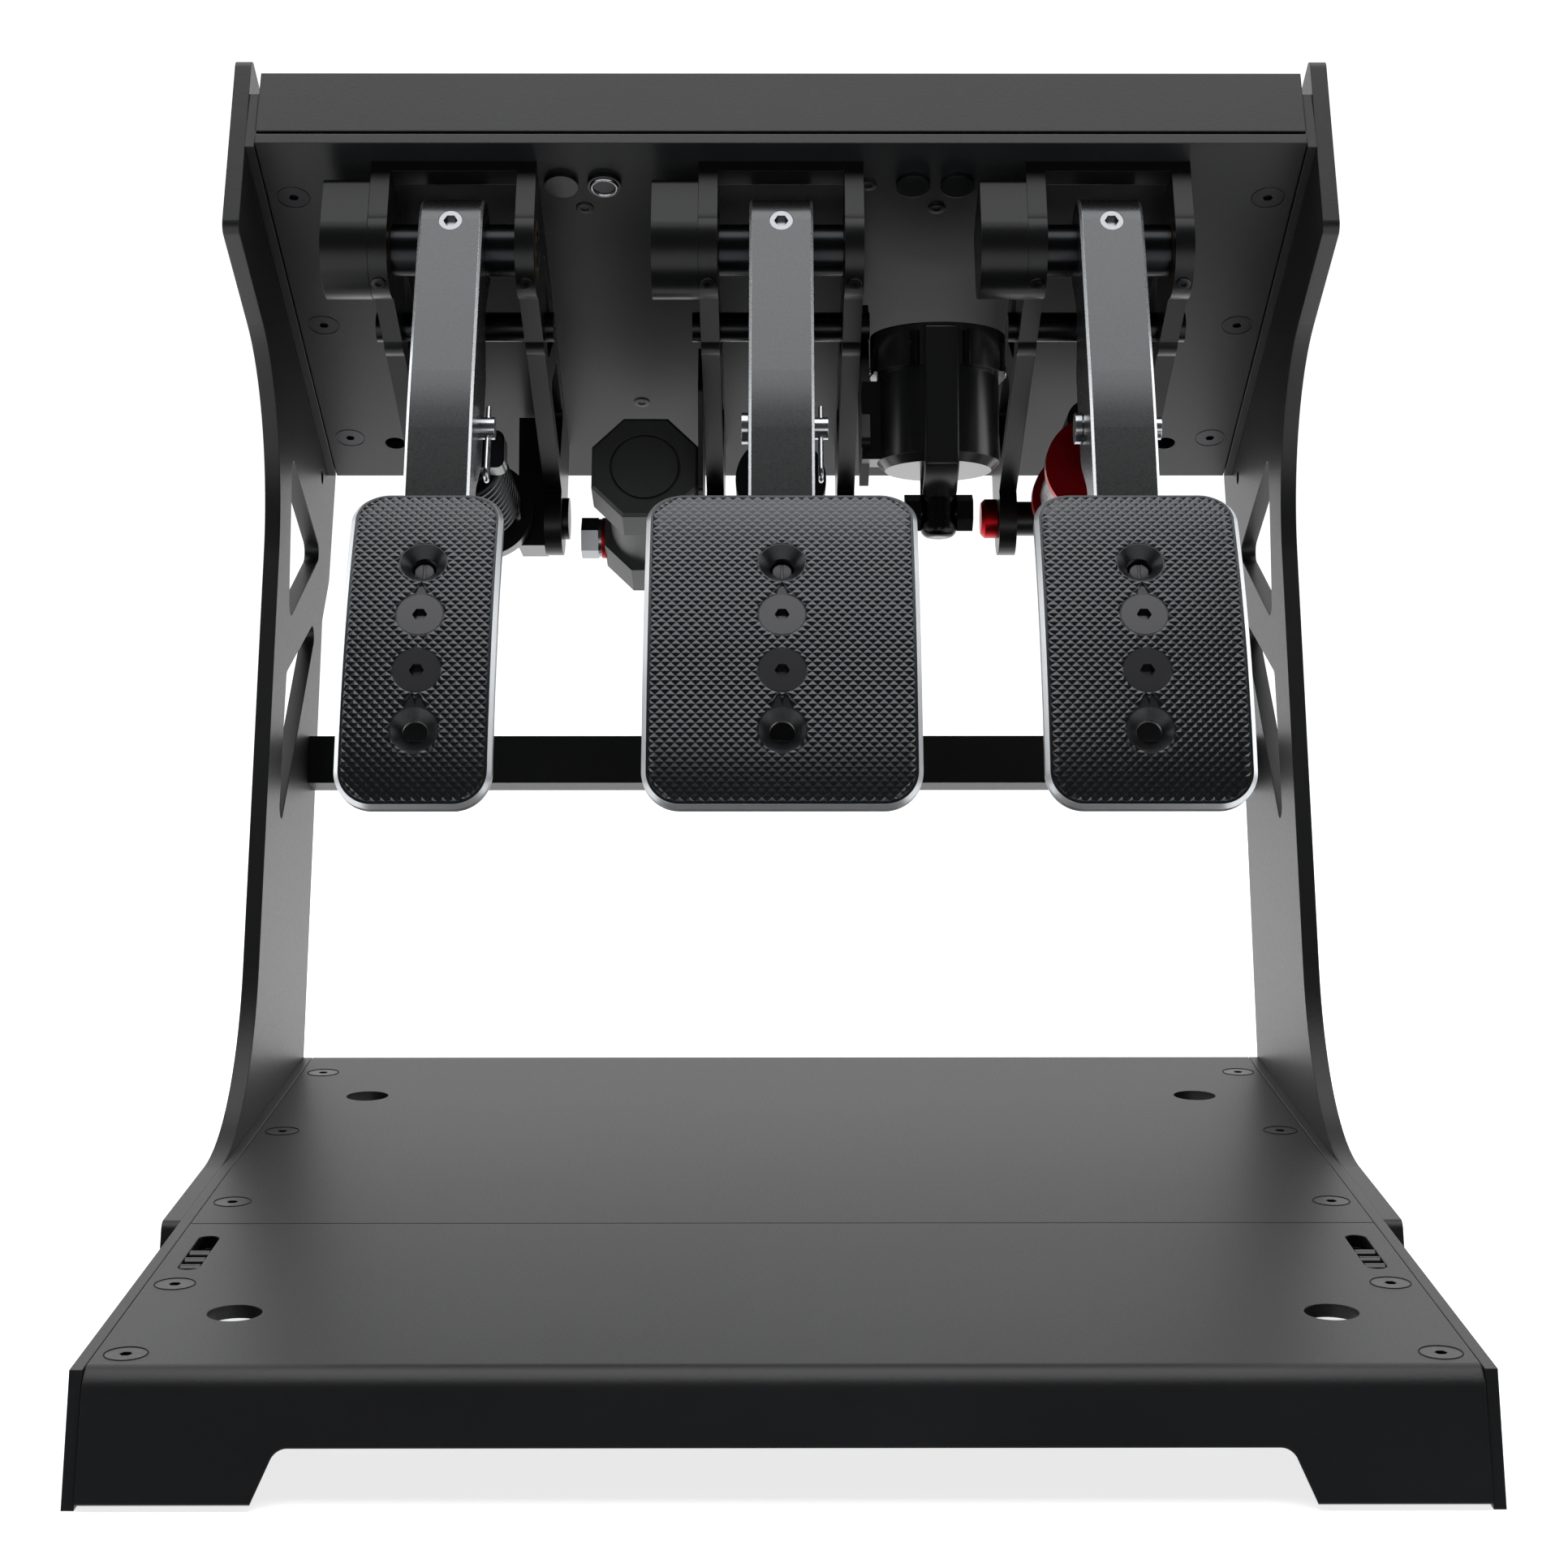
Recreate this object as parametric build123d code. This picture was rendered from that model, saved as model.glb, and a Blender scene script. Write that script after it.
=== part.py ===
from build123d import *
from math import atan2, ceil, cos, degrees, hypot, pi, radians, sin, sqrt, tan
import os

os.makedirs("parts", exist_ok=True)

# Sizes in millimetres. X runs across the set, Y from the driver's feet to the back, and Z up
# from the floor. The origin is on the floor, below the middle of the whole set.
SET_DEPTH = 548.0
UPRIGHT_THICKNESS = 6.0
FIT_GAP = 0.02          # between pieces that are pressed or screwed together
RUNNING_GAP = 0.05  # between a shaft and its bearing
CLEARANCE = 0.3     # between pieces that only lie near each other
OVERRUN = 3.0       # how far a cutting tool stands out of the metal

# Floor section
FLOOR_HEIGHT = 34.5
FLOOR_THICKNESS = 4.0
FLOOR_SEAM_GAP = 0.6
RAIL_THICKNESS = 3.5
RAIL_FLANGE = 23.0
APRON_LEAN = 23.4
APRON_FOOT = 2.0
APRON_BEND = 5.0
TOE_HOLE_INSET = 54.5
TOE_HOLE_SLANT_WIDTH = 8.5
TOE_HOLE_HEIGHT = 15.5
TOE_HOLE_ROUNDING = 5.0
FIXING_HOLE_RADIUS = 8.0
FIXING_HOLE_INSET = 41.5
# Places along the floor, as shares of its length from the front edge
FLOOR_SEAM_SHARE = 0.39282
FIXING_HOLE_SHARES = (0.16053, 0.8323)
FLOOR_SCREW_SHARES = (0.06986, 0.2311, 0.45813, 0.69593, 0.93254)
LATCH_SLOT_SHARE = 0.26627

# Flat-headed M6 screws, which hold the sheets, rails and side plates
M6_HEAD_RADIUS = 6.0
M6_RADIUS = 3.0
M6_LENGTH = 9.0
SOCKET_SHARE = 0.62
SCREW_LINE_INSET = 18.3

# Heel latches: ridged thumb slides in slots beside the front plate's edges
LATCH_INSET = 19.0
LATCH_SLOT_WIDTH = 6.8
LATCH_SLOT_LENGTH = 38.3
LATCH_SLIDE_LENGTH = 26.0
LATCH_RIDGE_PITCH = 7.6
LATCH_RIDGE_RADIUS = 2.2
LATCH_RIDGE_COUNT = 3
LATCH_FOOT_WIDTH = 10.0
LATCH_FOOT_THICKNESS = 2.5
LATCH_HOUSING_WALL = 2.0

# The tray leans down to the back. Places on it are given by s, along it from its front edge,
# and n, down from its underside and square to it.
TRAY_FRONT_SHARE = 0.59124088
TRAY_FRONT_Z = 390.65
TRAY_SLOPE = 33.0
TRAY_LENGTH = 224.5
TRAY_SIDE_GAP = 0.5
TRAY_THICKNESS = 4.0
TRAY_SCREW_INSET = 19.5
TRAY_SCREW_SHARES = (0.1425, 0.5055, 0.8685)
TRAY_RAIL_FLANGE = 24.0
TRAY_RAIL_HEIGHT = 24.0
TRAY_SIDE_SCREW_HEIGHT = 14.9
TRAY_HOLE_RADIUS = 4.3
TRAY_HOLE_INSET = 38.0
TRAY_HOLE_SHARE = 0.886
COVER_HEIGHT = 31.7
COVER_SHEET = 2.0
COVER_SLIT = 1.4
COVER_INSET = 32.0

# Uprights: the head follows the tray, the leg runs down and forward to the floor
HEAD_TOP_HEIGHT = 39.7
HEAD_LOW_DEPTH = 34.0
HEAD_FRONT_S = 0.5
HEAD_FRONT_OFFSET = 4.8
HEAD_BACK_S = 242.8
HEAD_ROUNDING = 4.0
KNEE_RADIUS = 70.0
ANKLE_RADIUS = 90.0
WINDOW_ROUNDING = 4.5
# Each point is a share of the set's depth, from the front, and of the tray's front height.
KNEE_SHARE = (0.742, 0.755)
ANKLE_DEPTH_SHARE = 0.5416
TOE_DEPTH_SHARE = 0.303
TOE_FOOT_DEPTH_SHARE = 0.2755
HEEL_DEPTH_SHARE = 0.764
HEEL_MARGIN = 0.672
HIP_SHARE = (0.894, 0.532)
SEAT_SHARE = (0.9325, 0.571)
UPPER_WINDOW_SHARES = ((0.766, 0.711), (0.895, 0.603), (0.736, 0.545))
LOWER_WINDOW_SHARES = ((0.722, 0.495), (0.8796, 0.542), (0.667, 0.330))
UPRIGHT_HOLE_SHARE = (0.907, 0.686)
UPRIGHT_HOLE_RADIUS = 3.0
CROSSBAR_HEIGHT = 20.0
CROSSBAR_DEPTH = 12.0
CROSSBAR_LEAN = 22.0
CROSSBAR_SHARE = (0.8259, 0.3865)

# Pedal modules: two hanging side plates with the arm and its strut between them
SIDE_PLATE_THICKNESS = 7.0
SIDE_PLATE_OUTER = 30.0
SIDE_PLATE_FRONT_S = 10.5
SIDE_PLATE_BACK_S = 203.0
SIDE_PLATE_DEPTH = 40.5
SIDE_PLATE_ROUNDING = 3.0
WEB_THICKNESS = 4.4
WEB_LENGTH = 8.0
PIVOT_S = 28.0
PIVOT_N = 27.0
PIVOT_RADIUS = 7.0
PIVOT_LUG_RADIUS = 17.4
BEARING_RADIUS = 10.5
SLEEVE_RADIUS = 9.5
SENSOR_LENGTH = 17.0
SENSOR_RADIUS = 17.6
SENSOR_TOP_N = 7.0
SENSOR_SHAFT_LENGTH = 9.0
SENSOR_SIDE_GAP = 28.0
SPACER_S = 71.0
SPACER_N = 30.5
SPACER_RADIUS = 5.5
SPACER_SCREW_RADIUS = 3.0
SPACER_HEAD_RADIUS = 5.6
SPACER_HEAD_HEIGHT = 3.4
ANCHOR_S = 186.0
ANCHOR_N = 45.0
ANCHOR_LUG_RADIUS = 15.0
ANCHOR_HEAD_RADIUS = 8.5
ANCHOR_HEAD_HEIGHT = 2.5
# Windows of a side plate, as shares of the plate's length and depth
FRONT_WINDOW_SHARES = ((0.19, 0.2), (0.52, 0.2), (0.41, 0.8), (0.385, 0.8), (0.27, 0.42))
BACK_WINDOW_SHARES = ((0.60, 0.2), (0.80, 0.2), (0.77, 0.84), (0.49, 0.84))
M5_RADIUS = 2.5
M5_HEAD_RADIUS = 4.25
M5_HEAD_HEIGHT = 4.6
M5_LENGTH = 11.0
BRACKET_SCREW_SHARES = (0.06, 0.52, 0.93)

# Pedal arm, drawn in s and n; its rear runs from a round head to a lug for the clevis pin
ARM_WIDTH = 23.0
ARM_HEAD_RADIUS = 18.0
ARM_FRONT_S = 9.6
ARM_BEND_N = 103.0
ARM_FOOT_S = 22.1
ARM_FOOT_N = 225.0
ARM_NECK_DEPTH = 24.0
ARM_NECK_N = 51.0
ARM_BACK_S = 47.0
ARM_SHANK_DEPTH = 21.0
ARM_SHANK_N = 122.0
ARM_FOOT_DEPTH = 15.0
ARM_CHAMFER = 1.0
ARM_SLOT_WIDTH = 13.0
ARM_SLOT_TOP_LENGTH = 17.0
ARM_SLOT_LOW_LENGTH = 19.0
ARM_SLOT_FRONT_DEPTH = 14.0
CLEVIS_S = 37.0
CLEVIS_N = 98.0
CLEVIS_RADIUS = 4.0
CLEVIS_GAP = 0.9
CLEVIS_TAIL_LENGTH = 5.2
CLEVIS_HEAD_RADIUS = 5.6
CLEVIS_HEAD_HEIGHT = 2.4
CLIP_WIRE_RADIUS = 0.9
CLIP_TOP_LENGTH = 9.0
CLIP_LOW_LENGTH = 19.6
CLIP_WIDTH = 5.4
CLIP_BEND_RADIUS = 2.6
CLIP_TAIL_LENGTH = 3.0
CLAMP_HEAD_RADIUS = 4.2
CLAMP_HEAD_HEIGHT = 4.0
CLAMP_RADIUS = 2.5

# Pads: curved plates with rounded corners
PAD_RADIUS = 240.0
PAD_THICKNESS = 5.0
PAD_LENGTH = 120.0
PAD_FRONT_S = -9.0
PAD_N = 208.0
PAD_CORNER = 12.5
PAD_RIM = 1.5
CLUTCH_PAD_WIDTH = 51.0
BRAKE_PAD_WIDTH = 91.0
THROTTLE_PAD_WIDTH = 68.5
PAD_HOLE_COUNT = 4
PAD_HOLE_PITCH = 20.7
PAD_HOLE_OFFSET = 2.4
PAD_HOLE_HEAD_RADIUS = 7.65
PAD_HOLE_RADIUS = 4.1
PAD_SCREW_RADIUS = 4.0
PAD_SCREW_LENGTH = 17.0
PAD_BRACKET_WIDTH = 22.0
PAD_BRACKET_THICKNESS = 6.0
PAD_BRACKET_TOP_N = 152.0
PAD_BOSS_TOP_N = 187.0
PAD_BOSS_BOTTOM_N = 234.0

# Struts between the clevis pin and the anchor; t runs from the pin along the strut
EYE_RADIUS = 8.6
EYE_WIDTH = 12.0
ANCHOR_EYE_RADIUS = 12.0
ANCHOR_EYE_WIDTH = 24.0
CLUTCH_ROD_RADIUS = 4.8
CLUTCH_BLOCK_T = 32.0
CLUTCH_BLOCK_LENGTH = 13.0
CLUTCH_BLOCK_WIDTH = 34.0
CLUTCH_BLOCK_HEIGHT = 14.0
CLUTCH_SPIGOT_LENGTH = 5.0
CLUTCH_ROD_END_T = 112.0
CLUTCH_TUBE_FRONT_T = 84.0
CLUTCH_TUBE_RADIUS = 8.0
CLUTCH_TUBE_WALL = 2.5
CLUTCH_CUP_T = 138.0
CLUTCH_CUP_LENGTH = 9.0
CLUTCH_CUP_RADIUS = 19.0
ANCHOR_BLOCK_T = 148.5
ANCHOR_BLOCK_LENGTH = 23.5
ANCHOR_BLOCK_TOP_HEIGHT = 40.0
ANCHOR_BLOCK_LOW_DEPTH = 13.0
SPRING_WIRE = 4.0
SPRING_RADIUS = 13.0
SPRING_TURNS = 10
SPRING_BEND_RADIUS = 4.4
BRAKE_ROD_RADIUS = 6.0
BRAKE_ROD_END_T = 97.0
BRAKE_CYLINDER_T = 84.0
BRAKE_CYLINDER_RADIUS = 17.5
BRAKE_BORE_RADIUS = 12.5
BRAKE_GLAND_LENGTH = 7.0
BRAKE_CAVITY_LENGTH = 30.0
THROTTLE_ROD_RADIUS = 5.0
THROTTLE_ROD_END_T = 86.0
THROTTLE_CYLINDER_T = 66.0
THROTTLE_CYLINDER_RADIUS = 16.0
THROTTLE_BORE_RADIUS = 12.0
THROTTLE_CAVITY_LENGTH = 56.0
THROTTLE_CAP_LENGTH = 6.0
THROTTLE_RING_RADIUS = 19.0
THROTTLE_RING_T = 118.0
THROTTLE_RING_LENGTH = 6.0
CYLINDER_END_T = 146.0
CYLINDER_NECK_RADIUS = 10.0
PISTON_LENGTH = 5.0
RETURN_WIRE = 2.0
RETURN_RADIUS = 9.0
RETURN_TURNS = 5
RETURN_BEND_RADIUS = 2.4
RESERVOIR_RADIUS = 8.0
RESERVOIR_LENGTH = 30.0
RESERVOIR_T = 86.0
KNOB_RADIUS = 8.0
KNOB_LENGTH = 6.6
KNOB_CHAMFER = 1.6
KNOB_STUD_RADIUS = 3.0

# Pressure chamber on the brake's left plate: two eight-sided blocks on a round neck
CHAMBER_SIDE_GAP = 1.9
CHAMBER_SLOPE = 25.0
CHAMBER_SIDES = 8
CHAMBER_CHAMFER = 1.2
CHAMBER_S = 120.0
CHAMBER_N = 61.5
CHAMBER_WIDTH = 41.6
CHAMBER_LENGTH = 19.0
CHAMBER_RING_RADIUS = 13.75
CHAMBER_RING_WIDTH = 0.9
CHAMBER_RING_DEPTH = 1.2
CHAMBER_NECK_RADIUS = 16.0
CHAMBER_NECK_LENGTH = 41.0
CHAMBER_TAIL_WIDTH = 37.5
CHAMBER_TAIL_LENGTH = 22.0
CHAMBER_BRACKET_S = 98.0
CHAMBER_BRACKET_LENGTH = 50.0
CHAMBER_BRACKET_DROP = 10.4
BANJO_RADIUS = 7.9
BANJO_LENGTH = 3.0
BANJO_HEX_WIDTH = 14.5
BANJO_HEX_LENGTH = 7.0

# Canister between the brake and the throttle; its places run up its own axis from the bolt
CANISTER_SIDE_GAP = 3.7
CANISTER_BOLT_S = 98.06
CANISTER_BOLT_N = 95.92
CANISTER_LEAN = 12.0
CANISTER_RADIUS = 23.0
CANISTER_LOW_HEIGHT = 16.0
CANISTER_TOP_HEIGHT = 51.6
CANISTER_CHAMFER = 3.0
CANISTER_WALL = 3.0
CAP_RADIUS = 25.5
CAP_LENGTH = 15.4
CAP_SIDE_GAP = 4.3
CAP_SCREW_RADIUS = 2.0
CAP_SCREW_COUNT = 8
STEM_RADIUS = 6.8
STEM_LOW_LENGTH = 9.5
CROSS_BOLT_RADIUS = 3.0
CROSS_BOLT_HALF_LENGTH = 13.0
CROSS_HEX_WIDTH = 12.0
CROSS_HEX_HEIGHT = 6.0
CANISTER_PLATE_THICKNESS = 3.4
CANISTER_BOSS_WIDTH = 15.3
CANISTER_PLATE_S = 78.0
CANISTER_PLATE_LENGTH = 32.0
CANISTER_PLATE_TOP_N = 14.0
CANISTER_PLATE_BOTTOM_N = 78.0

# Control board above the tray, and the sockets in the tray
BOARD_GAP = 7.0
BOARD_THICKNESS = 1.6
# Places across are shares of the modules' pitch, places along are shares of the tray's length.
BOARD_ALONG_SHARES = (0.147, 0.775)
BOARD_ACROSS_SHARES = (-0.664, 0.5462)
STANDOFF_RADIUS = 3.0
STANDOFF_SHARES = ((-0.6134, 0.1693), (-0.4748, 0.7483), (0.4874, 0.1693), (0.3782, 0.7483))
JACK_RADIUS = 6.25
JACK_BODY_RADIUS = 4.25
JACK_FLANGE = 2.0
JACK_BODY_LENGTH = 14.0
JACK_S = 23.0
JACK_SHARES = (-0.679, -0.5462, 0.4076, 0.5454)

# Counts that shape the round and six-sided pieces
HEX_SIDES = 6
SAMPLES_PER_TURN = 24
SLOPE_PASSES = 10

# What the sizes above give: the canister's place sets the pitch, and the pitch the set's width
FRONT_Y = -SET_DEPTH / 2
FLOOR_LENGTH = HEEL_DEPTH_SHARE * SET_DEPTH - HEEL_MARGIN
FLOOR_BACK_Y = FRONT_Y + FLOOR_LENGTH
FLOOR_SEAM_Y = FRONT_Y + FLOOR_SEAM_SHARE * FLOOR_LENGTH
FIXING_HOLE_YS = [FRONT_Y + share * FLOOR_LENGTH for share in FIXING_HOLE_SHARES]
FLOOR_SCREW_YS = [FRONT_Y + share * FLOOR_LENGTH for share in FLOOR_SCREW_SHARES]
LATCH_SLOT_FRONT_Y = FRONT_Y + LATCH_SLOT_SHARE * FLOOR_LENGTH
TRAY_FRONT_Y = FRONT_Y + TRAY_FRONT_SHARE * SET_DEPTH
CANISTER_X = SIDE_PLATE_OUTER + CANISTER_SIDE_GAP + CAP_RADIUS
CHAMBER_X = -SIDE_PLATE_OUTER - CHAMBER_SIDE_GAP - CHAMBER_WIDTH / 2
MODULE_PITCH = CANISTER_X + CAP_RADIUS + CAP_SIDE_GAP + SIDE_PLATE_OUTER
INNER_HALF_WIDTH = MODULE_PITCH + SIDE_PLATE_OUTER + SENSOR_LENGTH + SENSOR_SIDE_GAP
SET_HALF_WIDTH = INNER_HALF_WIDTH + UPRIGHT_THICKNESS
SCREW_LINE_X = SET_HALF_WIDTH - SCREW_LINE_INSET
FIXING_HOLE_X = SET_HALF_WIDTH - FIXING_HOLE_INSET
LATCH_X = SET_HALF_WIDTH - LATCH_INSET
TOE_HOLE_HALF_WIDTH = SET_HALF_WIDTH - TOE_HOLE_INSET
TRAY_HALF_WIDTH = INNER_HALF_WIDTH - RAIL_THICKNESS - TRAY_SIDE_GAP
TRAY_SCREW_X = SET_HALF_WIDTH - TRAY_SCREW_INSET
TRAY_HOLE_X = SET_HALF_WIDTH - TRAY_HOLE_INSET
COVER_HALF_WIDTH = SET_HALF_WIDTH - COVER_INSET
SLOPE = radians(TRAY_SLOPE)
NAMES = ("clutch", "brake", "throttle")
PAD_WIDTHS = dict(zip(NAMES, (CLUTCH_PAD_WIDTH, BRAKE_PAD_WIDTH, THROTTLE_PAD_WIDTH)))
MODULE_XS = dict(zip(NAMES, (-MODULE_PITCH, 0, MODULE_PITCH)))
TRAY_FRONT = (0, TRAY_FRONT_Y, TRAY_FRONT_Z)
TRAY = Plane(origin=TRAY_FRONT, x_dir=(1, 0, 0), z_dir=(0, sin(SLOPE), cos(SLOPE)))
SIDE_PLATE_INNER = SIDE_PLATE_OUTER - SIDE_PLATE_THICKNESS
STRUT_S = ANCHOR_S - CLEVIS_S
STRUT_N = ANCHOR_N - CLEVIS_N
STRUT_LENGTH = hypot(STRUT_S, STRUT_N)
STRUT = Plane(origin=(0, CLEVIS_S, -CLEVIS_N), x_dir=(1, 0, 0), z_dir=(0, STRUT_S, -STRUT_N))


def on_tray(s, n):
    """The depth and height of a point that is given along and below the tray."""
    y = TRAY_FRONT_Y + s * cos(SLOPE) - n * sin(SLOPE)
    z = TRAY_FRONT_Z - s * sin(SLOPE) - n * cos(SLOPE)
    return (y, z)


def on_set(share):
    """The depth and height of a point that is given as shares of the set."""
    return (FRONT_Y + share[0] * SET_DEPTH, share[1] * TRAY_FRONT_Z)


def outline(points, radii):
    """A flat face through the points, with the corners rounded by one radius or by a list."""
    return make_face(FilletPolyline(*points, radius=radii, close=True))


def across(face, x_low, x_high):
    """A face drawn in depth and height, made solid between two widths."""
    return extrude(Plane.YZ.offset(x_low) * face, x_high - x_low, dir=(1, 0, 0))


def bar_x(radius, x_low, x_high, y, z):
    """A round bar across the set."""
    bar = Cylinder(radius, x_high - x_low, align=(Align.CENTER, Align.CENTER, Align.MIN))
    return Pos(x_low, y, z) * Rot(0, 90, 0) * bar


def rod(radius, low, high):
    """A round bar along its own axis."""
    return Pos(0, 0, low) * Cylinder(radius, high - low, align=(Align.CENTER, Align.CENTER, Align.MIN))


def ring(outer, inner, low, high):
    """A tube along its own axis."""
    return rod(outer, low, high) - rod(inner, low - OVERRUN, high + OVERRUN)


def block(x_low, x_high, y_low, y_high, z_low, z_high):
    """A box between two corners."""
    corner = Box(x_high - x_low, y_high - y_low, z_high - z_low, align=(Align.MIN,) * 3)
    return Pos(x_low, y_low, z_low) * corner


def flat_head(head, shank, length, grow=0):
    """A flat-headed screw below z = 0, or with some growth the hole that takes it."""
    cone_height = head - shank
    cone = Cone(shank + grow, head + grow, cone_height, align=(Align.CENTER, Align.CENTER, Align.MAX))
    screw = cone + rod(shank + grow, -length - grow, -cone_height)
    if grow > 0:
        return screw + rod(head + grow, 0, OVERRUN)
    depth = cone_height * SOCKET_SHARE
    hexagon = RegularPolygon(shank * SOCKET_SHARE, HEX_SIDES)
    return screw - Pos(0, 0, -depth) * extrude(hexagon, OVERRUN + depth)


def cap_head(head, height, shank, length):
    """A socket-headed screw whose head stands on z = 0."""
    hexagon = RegularPolygon(head * SOCKET_SHARE, HEX_SIDES)
    socket = Pos(0, 0, height * (1 - SOCKET_SHARE)) * extrude(hexagon, height)
    return rod(head, 0, height) + rod(shank, -length, 0) - socket


def parts_of(pieces):
    """All the separate solids of a list of pieces."""
    return [solid for piece in pieces for solid in piece.solids()]


def save(name, *pieces):
    """Write one node from one piece or from a group of separate pieces."""
    solids = parts_of(pieces)
    shape = solids[0] if len(solids) == 1 else Compound(solids)
    export_step(shape, os.path.join("parts", name + ".step"))


def at_module(name, piece):
    """Put a piece drawn in tray places into its module."""
    return TRAY.location * Pos(MODULE_XS[name], 0, 0) * piece


def on_strut(name, piece):
    """Put a piece drawn along a strut into its module."""
    return at_module(name, STRUT.location * piece)


def tray_profile(points, radii):
    """A face drawn in s and n, with n turned to run downwards."""
    return outline([(s, -n) for s, n in points], radii)


# Floor rails: angles that carry the floor plates, one along each side
def floor_rail():
    lean = tan(radians(APRON_LEAN))
    side = [
        (FRONT_Y + APRON_FOOT * lean, 0),
        (FRONT_Y + FLOOR_HEIGHT * lean, FLOOR_HEIGHT),
        (FLOOR_BACK_Y, FLOOR_HEIGHT),
        (FLOOR_BACK_Y, 0),
    ]
    outer = INNER_HALF_WIDTH
    leg = across(outline(side, 0), outer - RAIL_THICKNESS, outer)
    top = FLOOR_HEIGHT - FLOOR_THICKNESS
    flange_front = FRONT_Y + FLOOR_HEIGHT * lean + APRON_BEND
    flange = block(outer - RAIL_FLANGE, outer, flange_front, FLOOR_BACK_Y, top - RAIL_THICKNESS, top)
    slot_middle = LATCH_SLOT_FRONT_Y + LATCH_SLOT_LENGTH / 2
    slot = extrude(SlotOverall(LATCH_SLOT_LENGTH, LATCH_SLOT_WIDTH, rotation=90), FLOOR_HEIGHT)
    rail = leg + flange - Pos(LATCH_X, slot_middle, 0) * slot
    for y in FLOOR_SCREW_YS:
        rail -= Pos(SCREW_LINE_X, y, FLOOR_HEIGHT) * flat_head(M6_HEAD_RADIUS, M6_RADIUS, M6_LENGTH, FIT_GAP)
    return rail - upright_screws(FIT_GAP)


def mirrored(piece):
    """A piece and its twin on the other side of the set."""
    return [piece, mirror(piece, about=Plane.YZ)]


# Tray rails: angles that tie the tray to the uprights, with the tray's edge between them
def tray_rail():
    outer = INNER_HALF_WIDTH
    inner = outer - RAIL_THICKNESS
    leg = block(inner, outer, 0, TRAY_LENGTH, 0, TRAY_RAIL_HEIGHT)
    inside = outer - TRAY_RAIL_FLANGE
    flange = block(inside, outer, 0, TRAY_LENGTH, TRAY_THICKNESS, TRAY_THICKNESS + RAIL_THICKNESS)
    front_gap = COVER_SHEET + CLEARANCE
    top = TRAY_RAIL_HEIGHT + OVERRUN
    rail = leg + flange - block(0, SET_HALF_WIDTH, -OVERRUN, front_gap, -OVERRUN, top)
    for share in TRAY_SCREW_SHARES:
        hole = Rot(180, 0, 0) * flat_head(M6_HEAD_RADIUS, M6_RADIUS, M6_LENGTH, FIT_GAP)
        rail -= Pos(TRAY_SCREW_X, share * TRAY_LENGTH, 0) * hole
    return TRAY.location * rail - upright_screws(FIT_GAP)


# Flat-headed screws through the uprights, into both rails and into the crossbar's ends
def upright_screw_places():
    places = [(y, (FLOOR_HEIGHT - FLOOR_THICKNESS) / 2) for y in FLOOR_SCREW_YS[-2:]]
    for share in TRAY_SCREW_SHARES:
        places.append(on_tray(share * TRAY_LENGTH, -TRAY_SIDE_SCREW_HEIGHT))
    places.append(on_set(CROSSBAR_SHARE))
    return places


def upright_screws(grow=0):
    screw = flat_head(M6_HEAD_RADIUS, M6_RADIUS, M6_LENGTH, grow)
    return [Pos(SET_HALF_WIDTH, y, z) * Rot(0, 90, 0) * screw for y, z in upright_screw_places()]


# Front floor plate: folded down in front into a leaning apron with a wide toe opening
def front_floor_plate():
    lean = radians(APRON_LEAN)
    reach = (FLOOR_HEIGHT - APRON_FOOT) / cos(lean)
    bend_y = FRONT_Y + reach * sin(lean)
    inner_y = bend_y + FLOOR_THICKNESS * (cos(lean) - tan(lean) * (1 - sin(lean)))
    foot_y = FRONT_Y + FLOOR_THICKNESS * cos(lean)
    foot_z = APRON_FOOT - FLOOR_THICKNESS * sin(lean)
    side = [
        (FLOOR_SEAM_Y - FLOOR_SEAM_GAP / 2, FLOOR_HEIGHT),
        (bend_y, FLOOR_HEIGHT),
        (FRONT_Y, APRON_FOOT),
        (foot_y, foot_z),
        (inner_y, FLOOR_HEIGHT - FLOOR_THICKNESS),
        (FLOOR_SEAM_Y - FLOOR_SEAM_GAP / 2, FLOOR_HEIGHT - FLOOR_THICKNESS),
    ]
    half_width = INNER_HALF_WIDTH - RAIL_THICKNESS - CLEARANCE
    radii = [0, APRON_BEND + FLOOR_THICKNESS, 0, 0, APRON_BEND, 0]
    plate = across(outline(side, radii), -half_width, half_width)
    toe = [
        (TOE_HOLE_SLANT_WIDTH - TOE_HOLE_HALF_WIDTH, TOE_HOLE_HEIGHT),
        (TOE_HOLE_HALF_WIDTH - TOE_HOLE_SLANT_WIDTH, TOE_HOLE_HEIGHT),
        (TOE_HOLE_HALF_WIDTH, -OVERRUN),
        (-TOE_HOLE_HALF_WIDTH, -OVERRUN),
    ]
    toe_face = outline(toe, [TOE_HOLE_ROUNDING, TOE_HOLE_ROUNDING, 0, 0])
    plate -= extrude(Plane.XZ.offset(-FRONT_Y - reach) * toe_face, reach * 2, dir=(0, -1, 0))
    slot_middle = LATCH_SLOT_FRONT_Y + LATCH_SLOT_LENGTH / 2
    slot = extrude(SlotOverall(LATCH_SLOT_LENGTH, LATCH_SLOT_WIDTH, rotation=90), FLOOR_HEIGHT + OVERRUN)
    for x in (-LATCH_X, LATCH_X):
        plate -= Pos(x, slot_middle, 0) * slot
    return drilled_floor(plate)


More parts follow.
